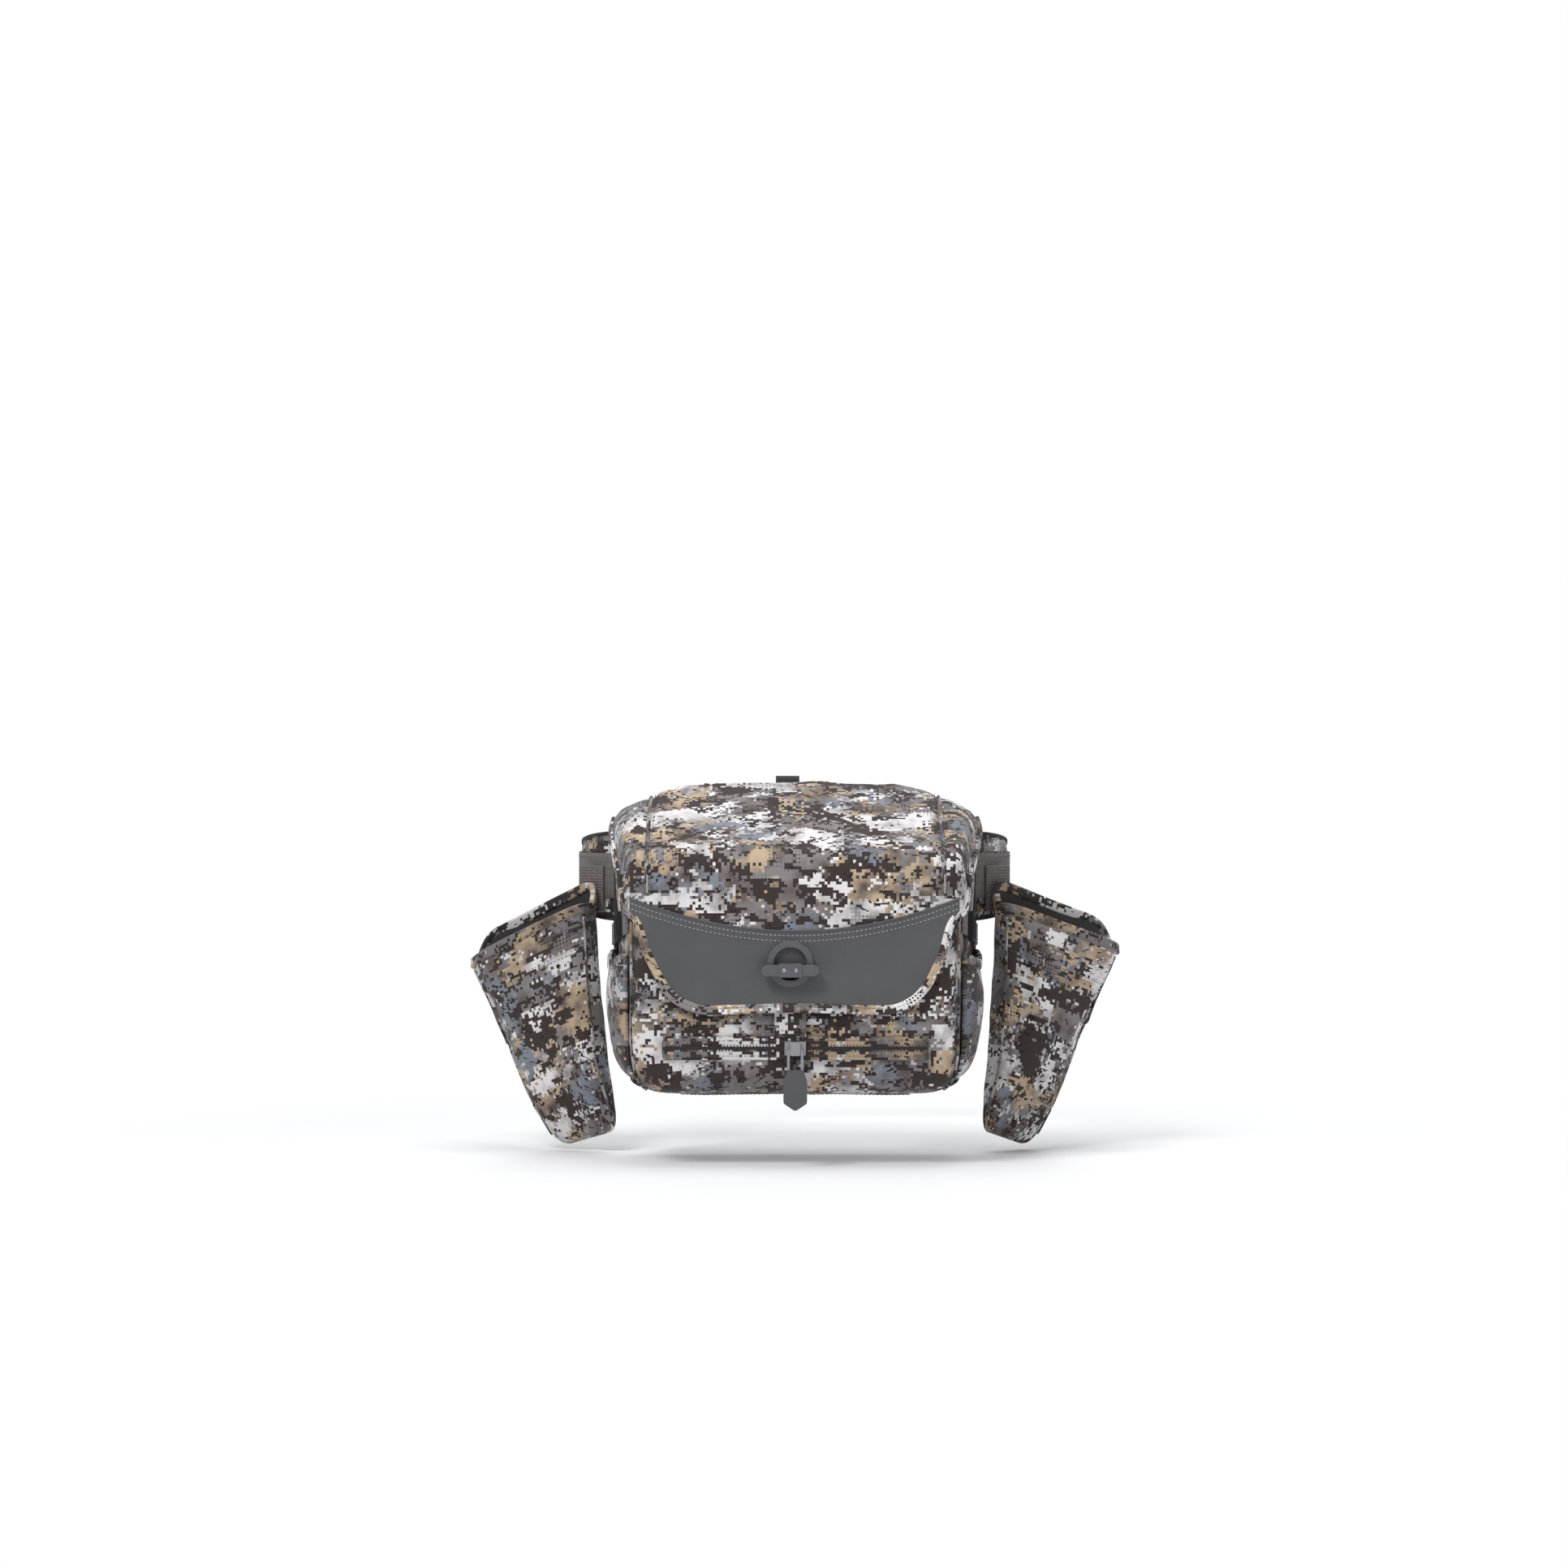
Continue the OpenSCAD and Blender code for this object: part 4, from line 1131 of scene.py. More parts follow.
    def pocket(self, side: Side) -> None:
        """Makes a stretch side pocket with a gathered elastic hem."""
        (y0, y1), (z0, z1) = self.pocket_y, self.pocket_z
        a, b = np.linspace(0, 1, 62)[None], np.linspace(0, 1, 62)[:, None]
        y, z = y0 + (y1 - y0) * a + 0 * b, z1 + (z0 - z1) * b + 0 * a
        z = z + 0.007 * np.sin(np.pi * a) * (1 - b) ** 3 * -1.0
        fall = np.clip(1 - (np.abs(2 * b - 0.75) / 1.25) ** 3.2, 0, 1) ** 0.6
        puff = (np.clip(np.sin(np.pi * a), 0, 1) ** 0.42) * fall
        puff = puff * (0.74 + 0.26 * smooth(b, 0.0, 0.3))
        start = np.stack([0 * y, y, z], axis=-1)
        way = facing(start, side.value, 0, 0)
        points = self.form.cast(start, way, 0.0012 + self.bulge * puff)
        gathers = 0.0007 * np.sin(a * 95) * np.exp(-b * 9) * np.sin(np.pi * a)
        waves = 0.0013 * ripple(points, 0.03, 31.0 + side.value) * puff
        points = points + way * (gathers + waves)[..., None]
        uv = np.stack([y, z], axis=-1)
        cloth = self.builder.finishes.camo("pocket_" + side.word, (0.52, 0.2 + 0.1 * side.value, 0), 0.8)
        piece = self.builder.add("pocket_cloth_" + side.word, sheet_mesh(points, uv, way),
                                 cloth, "pack", "camo")
        self.builder.thicken(piece, 0.0018, -1.0)
        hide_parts("side_pocket_" + side.word)
        hem, up = points[1], way[1]
        tape = ribbon(hem + up * 0.0004, up, 0.0085, 0.0032, 0.0008, 4)
        self.builder.add("pocket_hem_" + side.word, tape, self.builder.finishes.tape(),
                         "pack", "camo_binding")
        edge = np.concatenate([points[4:, 0], points[-1, 1:-1], points[4:, -1][::-1]])
        ups = facing(edge, side.value, 0, 0)
        self.builder.add("pocket_thread_" + side.word, stitches(edge + ups * 0.0012, ups), "thread", "pack", "camo")

    def zip_tape(self) -> None:
        """Makes the woven tapes and the two rows of coils of the front pocket's zip."""
        x = np.linspace(-self.zip_half, self.zip_half, 90)
        path = np.stack([x, 0 * x + self.zip_y, 0 * x + self.zip_z], axis=-1)
        ups = facing(path, 0, -1, 0)
        for name, lift in (("upper", 0.0053), ("lower", -0.0053)):
            bm = ribbon(path + np.array([0, 0, lift]), ups, 0.0082, 0.0014, 0.0004, 3)
            self.builder.add(f"zip_{name}_tape", bm, self.builder.finishes.tape(), "pack", "zip_coil")
            thread = stitches(path + np.array([0, -0.0007, lift * 1.15]), ups)
            self.builder.add(f"zip_{name}_thread", thread, "thread", "pack", "zip_coil")
        bm = bmesh.new()
        for number, at in enumerate(np.arange(-0.105, 0.105, 0.0013)):
            lift = 0.0011 if number % 2 else -0.0011
            spot = Matrix.Translation((float(at), -0.2596, self.zip_z + lift))
            bmesh.ops.create_cube(bm, size=1.0, matrix=spot @ Matrix.Diagonal((0.0009, 0.0013, 0.0034, 1)))
        bmesh.ops.bevel(bm, geom=bm.edges[:], affect="EDGES", offset=0.0002, segments=1, profile=0.5, material=-1)
        self.builder.add("zip_coils", bm, "zip_coil", "pack", "zip_coil", False)

    def strap(self) -> None:
        """Makes the closing strap's bound tongue on the front, under the lid."""
        z = np.linspace(-0.03, -0.1262, 60)
        path = np.stack([0 * z - 0.004, 0 * z - 0.2598, z], axis=-1)
        ups = facing(path, 0, -1, 0)
        tape = self.builder.add("strap_web", ribbon(path, ups, 0.0255, 0.0018, 0.0005, 6),
                                self.builder.finishes.tape(), "pack", "webbing")
        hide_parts("closure_strap")
        low = np.array([-0.0165, -0.26085, -0.1238])
        across = low + np.linspace(0, 1, 30)[:, None] * np.array([0.025, 0, 0])
        for number, lift in enumerate((0.0, 0.0032)):
            bm = stitches(across + np.array([0, 0, lift]), facing(across, 0, -1, 0), 0.0026, 0.002)
            self.builder.add(f"strap_thread_{number}", bm, "thread", "pack", "webbing")


@dataclass
class BeltCurve:
    """The hip belt's line round the wearer's waist, from the rear middle to the front middle.

    Attributes:
        half_width: half of the waist's width.
        rear, front: depths behind and before the waist's centre.
        rear_power, front_power: squareness of the two halves.
    """

    half_width: float = 0.172
    rear: float = 0.118
    front: float = 0.112
    rear_power: float = 3.4
    front_power: float = 2.4

    def line(self, side: Side) -> tuple[Array, Array]:
        """Returns dense places and outward normals from rear to front on one side."""
        s = np.linspace(0.0, math.pi, 1600)
        cosine = np.cos(s)
        power = np.where(cosine > 0, self.rear_power, self.front_power)
        depth = np.where(cosine > 0, -self.rear, self.front)
        x = self.half_width * np.sin(s) ** (2 / power)
        y = depth * np.abs(cosine) ** (2 / power)
        points = resample(np.stack([x, y, 0 * x], axis=-1), 1200)
        way = unit(np.gradient(points, axis=0))
        normal = np.stack([-way[:, 1], way[:, 0], 0 * x[:1200]], axis=-1)
        normal *= np.sign((normal * points).sum(axis=-1, keepdims=True))
        mirror = np.array([side.value, 1, 1])
        return points * mirror, normal * mirror

    def part(self, side: Side, start: float, end: float, count: int) -> tuple[Array, Array]:
        """Returns a stretch of the line between two |x| values, rear start to front end.

        Args:
            side: which side.
            start: |x| of the rear end.
            end: |x| of the front end.
            count: number of places.

        Returns:
            The places and normals.
        """
        points, normal = self.line(side)
        rear = points[:, 1] < 0
        first = int(np.argmax(np.abs(points[:, 0]) >= start))
        front = np.where(~rear & (np.abs(points[:, 0]) <= end))[0]
        last = int(front[0]) if len(front) else len(points) - 1
        return resample(points[first:last + 1], count), unit(resample(normal[first:last + 1], count))


@dataclass
class Belt:
    """The padded wings and the webbing of the hip belt.

    Attributes:
        builder: makes the pieces.
        curve: the line round the waist.
        root: |x| where a wing leaves the back panel.
        tip_y: where a wing ends in front.
        wing: thickness of a wing.
        tall, short: half heights of a wing at its root and its tip.
        web_at: distance of the webbing's middle from the line.
        web_width, web_thick: the webbing's section.
    """

    builder: Builder
    curve: BeltCurve = field(default_factory=BeltCurve)
    root: float = 0.108
    tip_y: float = 0.042
    wing: float = 0.0112
    tall: float = 0.038
    short: float = 0.0245
    web_at: float = 0.0122
    web_width: float = 0.038
    web_thick: float = 0.0019

    def build(self) -> None:
        """Makes both sides of the belt."""
        for side in Side:
            self.make_wing(side)
            self.make_web(side)

    def make_wing(self, side: Side) -> None:
        """Makes one padded wing with bound edges and stitched channels."""
        line, normal = self.curve.part(side, self.root, 0.0, 500)
        keep = line[:, 1] <= self.tip_y
        count = 110
        line, normal = resample(line[keep], count), unit(resample(normal[keep], count))
        share = np.linspace(0, 1, count)
        half = self.tall + (self.short - self.tall) * smooth(share, 0.1, 0.95)
        half = half * np.clip(1 - np.clip((share - 0.955) / 0.045, 0, 1) ** 2.5 * 0.3, 0, 1)
        turn = np.linspace(0, 2 * np.pi, 49)
        power = 0.42
        high = np.sign(np.sin(turn)) * np.abs(np.sin(turn)) ** power
        wide = np.sign(np.cos(turn)) * np.abs(np.cos(turn)) ** power
        height = half[:, None] * high[None]
        face = np.abs(height) / self.tall
        puff = 1 - 0.5 * np.clip(face - 0.55, 0, 1) ** 2 * 3
        channel = 1 - 0.24 * sum(np.exp(-((height - at) / 0.0022) ** 2) for at in (-0.013, 0.013))
        out = self.wing / 2 * (1 + wide[None] * puff * channel)
        points = line[:, None] + normal[:, None] * out[..., None] + np.array([0, 0, 1.0]) * height[..., None]
        points = points + normal[:, None] * (0.0006 * ripple(points, 0.03, 41.0))[..., None]
        points[:, -1] = points[:, 0]
        uv = np.stack(np.broadcast_arrays(lengths(line)[:, None], height), axis=-1)
        bm = sheet_mesh(points, uv, wrap=True)
        cap_ends(bm)
        cloth = self.builder.finishes.camo("wing_" + side.word, (0.23, 0.61 + 0.2 * side.value, 0), 0.9)
        piece = self.builder.add("wing_cloth_" + side.word, bm, cloth, "pack", "camo")
        piece.data.materials.append(self.builder.finishes["wing_mesh"])
        for polygon in piece.data.polygons:
            centre = polygon.center
            away = Vector((centre.x, centre.y, 0)).normalized()
            if polygon.normal.dot(away) < -0.35:
                polygon.material_index = 1
        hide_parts("hip_wing_" + side.word)
        for name, sign in (("upper", 1), ("lower", -1)):
            path = line + normal * self.wing / 2 + np.array([0, 0, 1.0]) * (sign * half)[:, None]
            ups = facing(path, 0, 0, sign)
            bm = ribbon(path - ups * 0.0008, ups, 0.0105, 0.0026, 0.0009, 4)
            self.builder.add(f"wing_{name}_tape_{side.word}", bm, "black_webbing", "pack", "camo_binding")

    def make_web(self, side: Side) -> None:
        """Makes one webbing strap from the back panel to the buckle."""
        line, normal = self.curve.part(side, 0.142, 0.034, 260)
        path = line + normal * self.web_at
        share = np.linspace(0, 1, len(path))
        path = path + normal * (0.0004 * np.sin(share * 40) * smooth(share, 0.1, 0.3))[:, None]
        bm = ribbon(path, normal, self.web_width, self.web_thick, 0.0004, 6)
        piece = self.builder.add("belt_webbing_" + side.word, bm, "webbing", "pack", "webbing")
        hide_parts("belt_web_" + side.word)
        ups = normal * (self.web_thick / 2 + 0.0001)
        for number, lift in enumerate((-0.0155, 0.0155)):
            near = path[8:90] + ups[8:90] + np.array([0, 0, lift])
            self.builder.add(f"belt_thread_{number}_{side.word}", stitches(near, normal[8:90]), "thread", "pack",
                             "webbing")


@dataclass
class Pouch:
    """One open-topped pouch hanging from the belt, turned to face outward.

    Attributes:
        builder: makes the pieces.
        side: which side it hangs on.
        origin: its hanging corner, right-hand side.
        turn: how far it faces outward, in radians.
        thick: inside to outside thickness.
        wall: thickness of its cloth.
        rise: how much higher the inner panel reaches.
    """

    builder: Builder
    side: Side
    origin: tuple[float, float] = (0.16079, -0.0996)
    turn: float = math.radians(35)
    thick: float = 0.036
    wall: float = 0.0022
    rise: float = 0.022

    def __post_init__(self) -> None:
        """Sets the corners of the side's own outline."""
        left = self.side is Side.LEFT
        self.foot = np.array([-0.018 if left else -0.008, -0.212])
        self.low = np.array([0.043, -0.2285])
        self.inner = np.array([0.0, -0.023])
        self.outer = np.array([0.123, -0.073 if left else -0.061])
        self.body = "pouch_" + self.side.word

    def place(self, local: Array) -> Array:
        """Returns frame places for local u (outward), y (to the wearer) and z."""
        c, s = math.cos(self.turn), math.sin(self.turn)
        x = self.origin[0] + c * local[..., 0] - s * local[..., 1]
        y = self.origin[1] + s * local[..., 0] + c * local[..., 1]
        return np.stack([x * self.side.value, y, local[..., 2]], axis=-1)

    def shell(self) -> Array:
        """Returns rows x columns local places, bottom to rim, once round the pouch."""
        rows, columns = 96, 120
        v = np.linspace(0, 1, rows)
        hug = np.array([[0.0, 0.0], [0.35, -0.001], [0.7, 0.001], [1.0, 0.0]])
        near = self.foot + v[:, None] * (self.inner - self.foot)
        near[:, 0] += np.interp(v, hug[:, 0], hug[:, 1])
        far = self.low + v[:, None] * (self.outer - self.low)
        far[:, 0] -= 0.006 * np.sin(np.pi * v) ** 1.2
        pinch = np.clip(v / 0.09, 0, 1)
        round_off = np.sqrt(np.clip(1 - (1 - pinch) ** 2, 0, 1))
        shift = (far - near) * (0.14 * (1 - round_off))[:, None]
        near, far = near + shift, far - shift
        depth = self.thick * (0.16 + 0.84 * smooth(v, -0.08, 0.36))
        depth = depth * (0.35 + 0.65 * round_off)
        turn = np.linspace(0, 2 * np.pi, columns + 1)
        wide = np.sign(np.cos(turn)) * np.abs(np.cos(turn)) ** 0.5
        thick = np.sign(np.sin(turn)) * np.abs(np.sin(turn)) ** 0.62
        centre, reach = (near + far) / 2, (far - near) / 2
        u = centre[:, :1] + reach[:, :1] * wide
        z = centre[:, 1:] + reach[:, 1:] * wide
        y = -self.thick / 2 + depth[:, None] / 2 * thick[None] + (self.thick - depth)[:, None] / 2
        back = smooth(thick, 0.1, 0.95)[None]
        lift = back * self.rise * smooth(v, 0.55, 1.0)[:, None]
        slope = self.inner - self.foot
        z = z + lift
        u = u + lift * (slope[0] / slope[1])
        return np.stack([u, y, z], axis=-1)

    def build(self) -> None:
        """Makes the cloth, the bound rim, the seams and the hanging tab."""
        local = self.shell()
        flip = self.side.value
        middle = local.mean(axis=1, keepdims=True)
        out = unit((local - middle) * np.array([0.35, 1.0, 0.0]))
        front = (out[..., 1] < -0.5).astype(float)
        u, z = local[..., 0], local[..., 2]
        level = np.clip((z + 0.22) / 0.17, 0, 1)
        waves = 0.0021 * ripple(local * flip, 0.06, 51.0 + flip) + 0.0009 * ripple(local, 0.024, 54.0)
        folds = sum(depth * crease(np.stack([u, 0 * u, z], axis=-1), (a[0], 0, a[1]), (b[0], 0, b[1]), width)
                    for a, b, width, depth in (
            ((0.008, -0.03), (0.016, -0.12), 0.007, -0.005 if self.side is Side.RIGHT else -0.0026),
            ((0.028, -0.045), (0.024, -0.115), 0.008, 0.0022),
            ((0.112, -0.085), (0.07, -0.15), 0.007, -0.003),
            ((0.05, -0.2), (0.075, -0.13), 0.008, -0.0024),
            ((0.0, -0.19), (0.05, -0.15), 0.008, -0.0022)))
        amount = (waves + folds * front) * smooth(level, 0.0, 0.15)
        local = local + out * amount[..., None]
        local[:, -1] = local[:, 0]
        points = self.place(local)
        run = lengths(local[60:61])[0]
        up = np.concatenate([[0], np.cumsum(np.linalg.norm(np.diff(local[:, 90], axis=0), axis=-1))])
        uv = np.stack(np.broadcast_arrays(run[None], up[:, None]), axis=-1)
        bm = sheet_mesh(points, uv, wrap=True)
        low = [e for e in bm.edges if e.is_boundary and max(v.co.z for v in e.verts) < -0.19]
        bmesh.ops.holes_fill(bm, edges=low, sides=0)
        bmesh.ops.triangulate(bm, faces=[f for f in bm.faces if len(f.verts) > 4])
        self.outward(bm, points)
        cloth = self.builder.finishes.camo(self.body, (0.13 + 0.3 * flip, 0.9, 0), 0.95)
        piece = self.builder.add(self.body + "_cloth", bm, cloth, self.body, "camo")
        piece.data.materials.append(self.builder.finishes["lining"])
        self.builder.modify(piece, "SOLIDIFY", thickness=self.wall, offset=-1.0, material_offset=1)
        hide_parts(*(f"{self.body}_{part}" for part in ("outer", "inner", "gusset")))
        self.rim(local)
        self.seams(local)
        self.tab()

    def outward(self, bm: bmesh.types.BMesh, points: Array) -> None:
        """Turns the open shell's faces outward."""
        centre = Vector(points.reshape(-1, 3).mean(axis=0).tolist())
        score = sum(f.normal.dot(f.calc_center_median() - centre) * f.calc_area() for f in bm.faces)
        if score < 0:
            bmesh.ops.reverse_faces(bm, faces=bm.faces)

    def rim(self, local: Array) -> None:
        """Makes the binding folded over the open rim, with its stitching."""
        edge, lower = local[-1, :-1], local[-4, :-1]
        down = unit(lower - edge)
        centre = local[-1].mean(axis=0)
        ups = unit((edge - centre) * np.array([0.35, 1.0, 0.0]))
        path = edge + down * 0.0034 - ups * self.wall / 2
        path, ups = np.concatenate([path, path[:1]]), np.concatenate([ups, ups[:1]])
        bm = ribbon(self.place(path), self.turned(ups), 0.0088, self.wall + 0.0024, 0.001, 4)
        tape = self.builder.add(self.body + "_rim_tape", bm, self.builder.finishes.tape(),
                                self.body, "camo_binding")
        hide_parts(self.body + "_rim")
        line = edge + down * 0.0062 + ups[:-1] * 0.0013
        bm = stitches(self.place(line), self.turned(ups[:-1]))
        self.builder.add(self.body + "_rim_thread", bm, "thread", self.body, "camo_binding")

    def turned(self, ways: Array) -> Array:
        """Returns frame directions for local ones."""
        return self.place(ways) - self.place(0 * ways)

    def seams(self, local: Array) -> None:
        """Makes the piped edge seams of the outer panel and its top-stitched hem."""
        for name, column in (("near", 66), ("far", 114)):
            path = local[6:-5, column]
            centre = local[6:-5].mean(axis=1)
            ups = unit((path - centre) * np.array([0.35, 1.0, 0.0]))
            self.builder.add(f"{self.body}_{name}_piping", cord_mesh(self.place(path + ups * 0.0002), 0.0011),
                             self.builder.finishes.piping(), self.body, "camo_binding")
        row = local[-20, 70:111]
        ups = facing(row, 0, -1, 0)
        self.builder.add(self.body + "_hem_thread", stitches(self.place(row + ups * 0.0004), self.turned(ups)),
                         "thread", self.body, "camo")

    def tab(self) -> None:
        """Makes the webbing tab that hangs the pouch from the belt."""
        z = np.linspace(0.0085, -0.0295, 30)
        path = np.stack([0 * z + 0.0125, 0 * z + 0.0012, z], axis=-1)
        ups = facing(path, 0, 1, 0)
        bm = ribbon(self.place(path), self.turned(ups), 0.0248, 0.0018, 0.0004, 6)
        tab = self.builder.add(self.body + "_tab_web", bm, "webbing", self.body, "webbing")
        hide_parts(self.body + "_tab")


@dataclass
class Details:
    """The rear loop, side straps, pads and the cloth dress of the back panel.

    Attributes:
        builder: makes the pieces.
        frame: the loaded frame's nodes.
        voxel: size of a cushion's faces before it is blown up.
        pressure, steps: how hard and how long a cushion is blown up.
        most: the furthest that a place on a cushion may move.
    """

    builder: Builder
    frame: dict
    voxel: float = 0.0042
    pressure: float = 4.0
    steps: int = 20
    most: float = 0.004

    def build(self) -> None:
        """Makes every detail."""
        self.hang_loop()
        self.back_trim()
        self.toggle_pins()
        for side in Side:
            self.side_strap(side)
            self.pad(side)

    def hang_loop(self) -> None:
        """Makes the black webbing loop over the rear edge."""
        turn = np.linspace(math.radians(-10), math.radians(338), 60)
        ring = np.stack([0 * turn - 0.006, -0.1175 - 0.0075 * np.cos(turn), 0.0755 + 0.0075 * np.sin(turn)], axis=-1)
        path = curved(np.concatenate([[[-0.006, -0.1252, 0.0485]], ring]), 120, 1)
        way = unit(np.gradient(path, axis=0))
        normal = np.cross(way, np.array([1.0, 0, 0]))
        bm = ribbon(path, normal, 0.0196, 0.0018, 0.0004, 5)
        loop = self.builder.add("rear_loop_web", bm, "black_webbing", "pack", "black_webbing")
        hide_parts("hang_loop")

    def back_trim(self) -> None:
        """Makes the binding round the back panel and its stitched channels."""
        half = ((0.119, -0.1735), (0.1345, -0.1725), (0.1372, -0.164), (0.1497, -0.06), (0.1497, 0.0475),
                (0.1465, 0.0525), (0.1185, 0.0615), (0.0965, 0.0735), (0.07, 0.0738))
        foot = (0.0, -0.1738)
        corners = [foot, *half, *((-x, z) for x, z in half[::-1]), foot]
        flat = curved(np.array(corners), 320, 2)
        middle = np.array([0.0, -0.05])
        away = np.stack([np.gradient(flat[:, 1]), 0 * flat[:, 0], -np.gradient(flat[:, 0])], axis=-1)
        away *= np.sign(((flat - middle) * away[:, [0, 2]]).sum(axis=-1))[:, None]
        path = np.stack([flat[:, 0], 0 * flat[:, 0] - 0.1292, flat[:, 1]], axis=-1)
        tape = ribbon(path - unit(away) * 0.0006, away, 0.0084, 0.0026, 0.0009, 4)
        self.builder.add("back_edge_tape", tape, "lining", "pack", "camo_binding")
        z = np.linspace(-0.155, -0.1, 40)
        for number, x in enumerate((-0.085, -0.042, 0.0, 0.042, 0.085)):
            line = np.stack([0 * z + x, 0 * z - 0.1262, z], axis=-1)
            self.builder.add(f"back_thread_{number}", stitches(line, facing(line, 0, 1, 0)), "thread", "pack", "mesh")

    def toggle_pins(self) -> None:
        """Makes the two small pins on the toggle's face."""
        bm = bmesh.new()
        for x in (-0.0088, 0.0008):
            spot = Matrix.Translation((x, -0.27605, -0.072))
            bmesh.ops.create_uvsphere(bm, u_segments=20, v_segments=12, radius=1.0,
                                      matrix=spot @ Matrix.Diagonal((0.0017, 0.0008, 0.0017, 1)))
        self.builder.add("toggle_pins", bm, "zip_metal", "toggle", "hardware")

    def side_strap(self, side: Side) -> None:
        """Makes a side compression strap, flat on the wall, with a free folded tail."""
        share = np.linspace(0, 1, 70)
        front = np.array([0.13335, -0.2360, -0.034])
        rear = np.array([0.1494, -0.1335, -0.048])
        path = front + share[:, None] * (rear - front)
        normal = np.tile([0.9876, -0.1568, 0.0], (len(path), 1))
        mirror = np.array([side.value, 1, 1])
        path = path + normal * (0.0016 + 0.0006 * np.sin(share * np.pi))[:, None]
        bm = ribbon(path * mirror, normal * mirror, 0.0178, 0.0018, 0.0004, 5)
        strap = self.builder.add("side_webbing_" + side.word, bm, "webbing", "pack", "webbing")
        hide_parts("side_strap_" + side.word)
        for end in (2, -3):
            spot = path[end] + normal[0] * 0.0011
            line = spot + np.linspace(-0.0075, 0.0075, 12)[:, None] * np.array([0, 0.13, 0.99])
            bm = stitches(line * mirror, normal[:12] * mirror, 0.0022, 0.0018)
            name = f"side_thread_{'front' if end > 0 else 'rear'}_{side.word}"
            self.builder.add(name, bm, "thread", "pack", "webbing")

    def pad(self, side: Side) -> None:
        """Makes a lumbar pad as cloth blown up over its foam."""
        node = self.frame["lumbar_pad_" + side.word]
        pad = node.copy()
        pad.data = node.data.copy()
        pad.name = "lumbar_cushion_" + side.word
        bpy.context.scene.collection.objects.link(pad)
        world = node.matrix_world.copy()
        pad.parent = None
        pad.matrix_world = Matrix.Identity(4)
        pad.modifiers.clear()
        pad.data.transform(world)
        remesh = pad.modifiers.new("Remesh", "REMESH")
        remesh.mode, remesh.voxel_size = "VOXEL", self.voxel
        self.apply(pad)
        self.inflate(pad)
        pad.data.materials.clear()
        pad.data.materials.append(self.builder.finishes["mesh"])
        self.builder.modify(pad, "SUBSURF", levels=1, render_levels=1)
        for face in pad.data.polygons:
            face.use_smooth = True
        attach(pad, "pack")
        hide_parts("lumbar_pad_" + side.word)
        self.builder.pieces.append(pad)
        LOG.info("%s: %d faces", pad.name, len(pad.data.polygons))

    def apply(self, obj: bpy.types.Object) -> None:
        """Bakes an object's modifiers into its mesh."""
        depsgraph = bpy.context.evaluated_depsgraph_get()
        mesh = bpy.data.meshes.new_from_object(obj.evaluated_get(depsgraph))
        obj.modifiers.clear()
        obj.data = mesh

    def inflate(self, obj: bpy.types.Object) -> None:
        """Runs a short cloth simulation that fills an object, its moves capped."""
        before = np.array([v.co[:] for v in obj.data.vertices])
        cloth = obj.modifiers.new("Cloth", "CLOTH")
        cloth.settings.quality = 6
        cloth.settings.mass = 0.15
        cloth.settings.tension_stiffness = 12
        cloth.settings.compression_stiffness = 6
        cloth.settings.use_pressure = True
        cloth.settings.uniform_pressure_force = self.pressure
        cloth.settings.effector_weights.gravity = 0.0
        cloth.point_cache.frame_start, cloth.point_cache.frame_end = 1, self.steps
        for frame_number in range(1, self.steps + 1):
            bpy.context.scene.frame_set(frame_number)
            bpy.context.view_layer.update()
        self.apply(obj)
        bpy.context.scene.frame_set(1)
        after = np.array([v.co[:] for v in obj.data.vertices])
        move = after - before
        size = np.linalg.norm(move, axis=-1, keepdims=True)
        move *= np.minimum(1.0, self.most / np.maximum(size, 1e-9))
        for vert, place in zip(obj.data.vertices, before + move):
            vert.co = place.tolist()


# ---------------------------------------------------------------- the scene


@dataclass
class Hardware:
    """Gives the CAD frame's hard parts and trims their finishes and soft edges.

    Attributes:
        builder: holds the finishes.
        frame: the loaded frame's nodes.
        bevel: width of the rounded edges.
    """

    builder: Builder
    frame: dict
    bevel: float = 0.0005

    FINISH = {
        # The ring plate takes the near-black painted shade of the ring's hollow.
        "closure_ring": "hardware", "ring_plate": "hollow", "toggle_stem": "hardware", "toggle_bar": "hardware",
        "zip_slider": "zip_metal", "pull_bail": "zip_metal", "pull_tab": "laminate",
        "web_glide_left": "hardware", "web_glide_right": "hardware",
        "side_lock_left": "black_plastic", "side_lock_right": "black_plastic",
        "buckle_socket": "hardware", "buckle_plug": "hardware", "prong_top": "hardware", "prong_bottom": "hardware",
        "back_panel": "mesh", "frame_sheet": "sheet", "pocket_zip": "zip_coil",
    }

    def build(self) -> None:
        """Dresses every hard node."""
        for name, key in self.FINISH.items():
            node = self.frame.get(name)
            if node is None:
                LOG.warning("no node %s", name)
                continue
            for slot in node.material_slots:
                slot.material = self.builder.finishes[key]
            if name in ("back_panel", "frame_sheet", "pull_bail"):
                continue
            made = node.modifiers.new("Edges", "BEVEL")
            made.width, made.segments, made.limit_method = self.bevel, 2, "ANGLE"
            made.angle_limit = math.radians(40)
            made.harden_normals = False


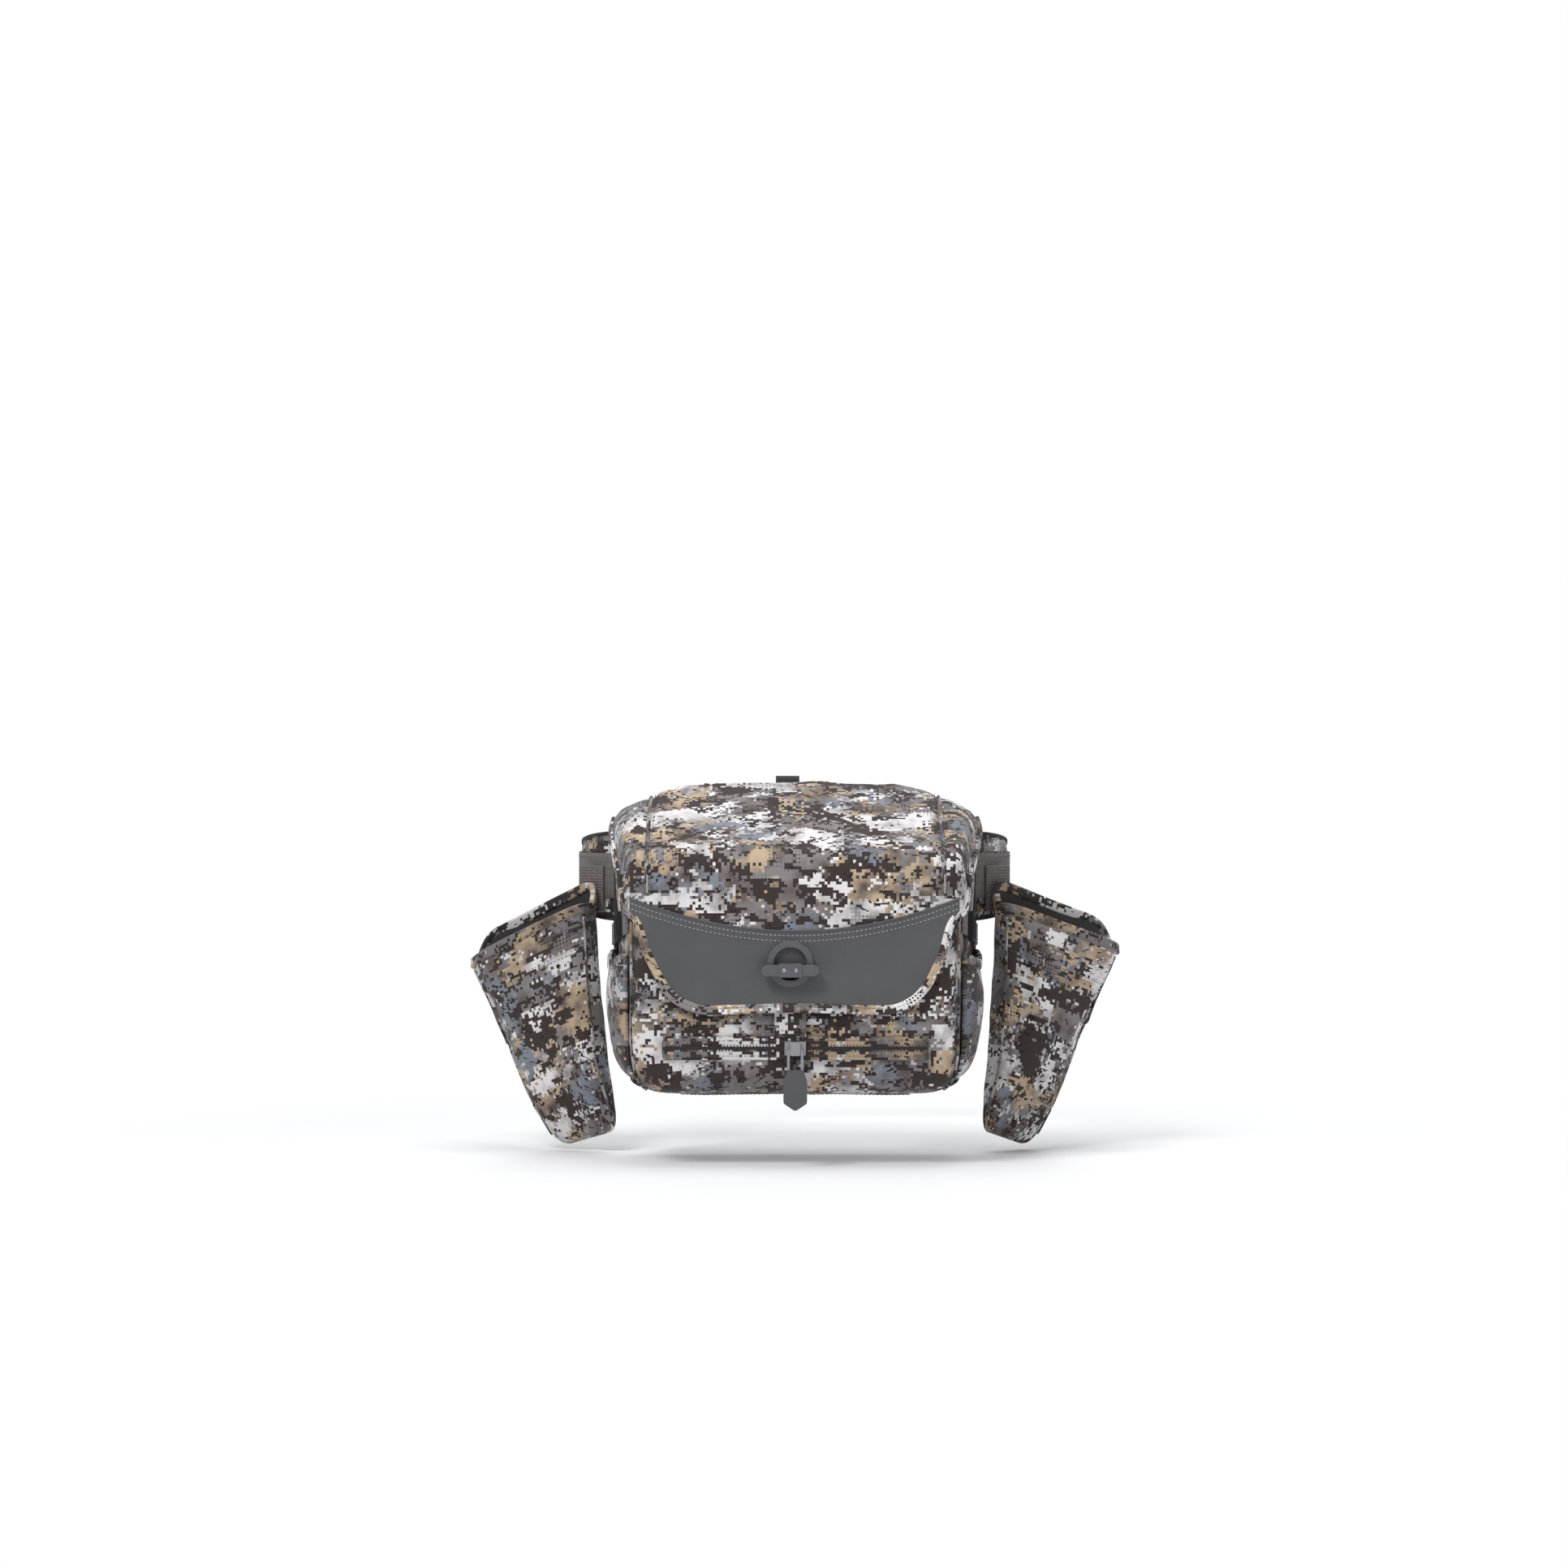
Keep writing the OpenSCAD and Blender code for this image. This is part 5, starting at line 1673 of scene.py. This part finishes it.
@dataclass(frozen=True)
class Lamp:
    """An area light.

    Attributes:
        name: its name.
        place: where it stands.
        aim: what it points at.
        size: its width.
        power: in watts.
    """

    name: str
    place: tuple[float, float, float]
    aim: tuple[float, float, float]
    size: float
    power: float

    def make(self) -> None:
        """Adds the light."""
        data = bpy.data.lights.new(self.name, "AREA")
        data.shape, data.size, data.energy = "SQUARE", self.size, self.power
        obj = bpy.data.objects.new(self.name, data)
        bpy.context.scene.collection.objects.link(obj)
        obj.location = self.place
        obj.rotation_euler = (Vector(self.aim) - Vector(self.place)).to_track_quat("-Z", "Y").to_euler()


class Studio:
    """The pale floor, the white surroundings, soft lights and the camera."""

    CAMERA = (-0.009, -3.752, 0.077)
    LENS, SENSOR = 100.0, 36.0
    FLOOR_Z = -0.2308
    FLOOR_HALF = 4.0
    LAMPS = (
        Lamp("key", (-1.0, -1.7, 1.9), (0, -0.1, -0.05), 0.9, 38.0),
        Lamp("fill", (1.9, -1.7, 0.7), (0, -0.1, -0.05), 1.8, 9.0),
        Lamp("top", (0.1, -0.1, 2.1), (0, -0.05, 0.0), 1.3, 24.0),
        Lamp("back", (0.3, 2.2, 1.2), (0, 0.0, 0.0), 1.6, 16.0),
    )

    def build(self) -> None:
        """Sets everything up."""
        scene = bpy.context.scene
        scene.view_settings.view_transform = "Standard"
        self.world()
        self.floor()
        for lamp in self.LAMPS:
            lamp.make()
        data = bpy.data.cameras.new("camera")
        data.lens, data.sensor_width = self.LENS, self.SENSOR
        camera = bpy.data.objects.new("camera", data)
        scene.collection.objects.link(camera)
        camera.location = self.CAMERA
        camera.rotation_euler = (math.radians(90), 0, 0)
        scene.camera = camera

    def world(self) -> None:
        """Makes the soft surrounding light, seen as plain white by the camera."""
        world = bpy.data.worlds.new("white")
        world.use_nodes = True
        tree = world.node_tree
        lit = tree.nodes["Background"]
        lit.inputs["Color"].default_value = (0.9, 0.93, 1.0, 1)
        lit.inputs["Strength"].default_value = 0.34
        seen = tree.nodes.new("ShaderNodeBackground")
        seen.inputs["Color"].default_value = (1, 1, 1, 1)
        seen.inputs["Strength"].default_value = 1.0
        path, pick = tree.nodes.new("ShaderNodeLightPath"), tree.nodes.new("ShaderNodeMixShader")
        tree.links.new(path.outputs["Is Camera Ray"], pick.inputs[0])
        tree.links.new(lit.outputs[0], pick.inputs[1])
        tree.links.new(seen.outputs[0], pick.inputs[2])
        tree.links.new(pick.outputs[0], tree.nodes["World Output"].inputs["Surface"])
        bpy.context.scene.world = world

    def floor(self) -> None:
        """Makes the pale floor."""
        graph = Graph("floor")
        graph.finish((0.9, 0.9, 0.9, 1), 0.6, Specular_IOR_Level=0.1)
        far = graph.node("VectorMath", {0: graph.place(False)}, operation="LENGTH").outputs["Value"]
        fade = graph.node("MapRange", {"Value": far, "From Min": 0.3, "From Max": 0.75},
                          interpolation_type="SMOOTHSTEP").outputs[0]
        seen = graph.math("MULTIPLY", fade, graph.node("LightPath").outputs["Is Camera Ray"])
        white = graph.node("Emission", {"Color": (1, 1, 1, 1), "Strength": 1.0}).outputs[0]
        mixed = graph.node("MixShader", {0: seen, 1: graph.shader.outputs[0], 2: white}).outputs[0]
        graph.tree.links.new(mixed, graph.tree.nodes["Material Output"].inputs["Surface"])
        bm = bmesh.new()
        bmesh.ops.create_grid(bm, x_segments=1, y_segments=1, size=self.FLOOR_HALF,
                              matrix=Matrix.Translation((0, 0, self.FLOOR_Z)))
        mesh = bpy.data.meshes.new("floor")
        bm.to_mesh(mesh)
        bm.free()
        floor = bpy.data.objects.new("floor", mesh)
        bpy.context.scene.collection.objects.link(floor)
        mesh.materials.append(graph.material)


def plain(box) -> list:
    """Returns a bounding box as plain lists."""
    return [[float(n) for n in corner] for corner in box]


def main() -> None:
    """Builds the whole picture."""
    logging.basicConfig(level=logging.INFO, format="%(name)s %(message)s")
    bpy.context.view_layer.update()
    builder = Builder(Finishes())
    Hardware(builder, frame["nodes"]).build()
    Hood(builder).build()
    BagShell(builder).build()
    Belt(builder).build()
    for side in Side:
        Pouch(builder, side).build()
    Details(builder, frame["nodes"]).build()
    Studio().build()
    LOG.info("%d pieces made", len(builder.pieces))


if __name__ == "__main__":
    main()
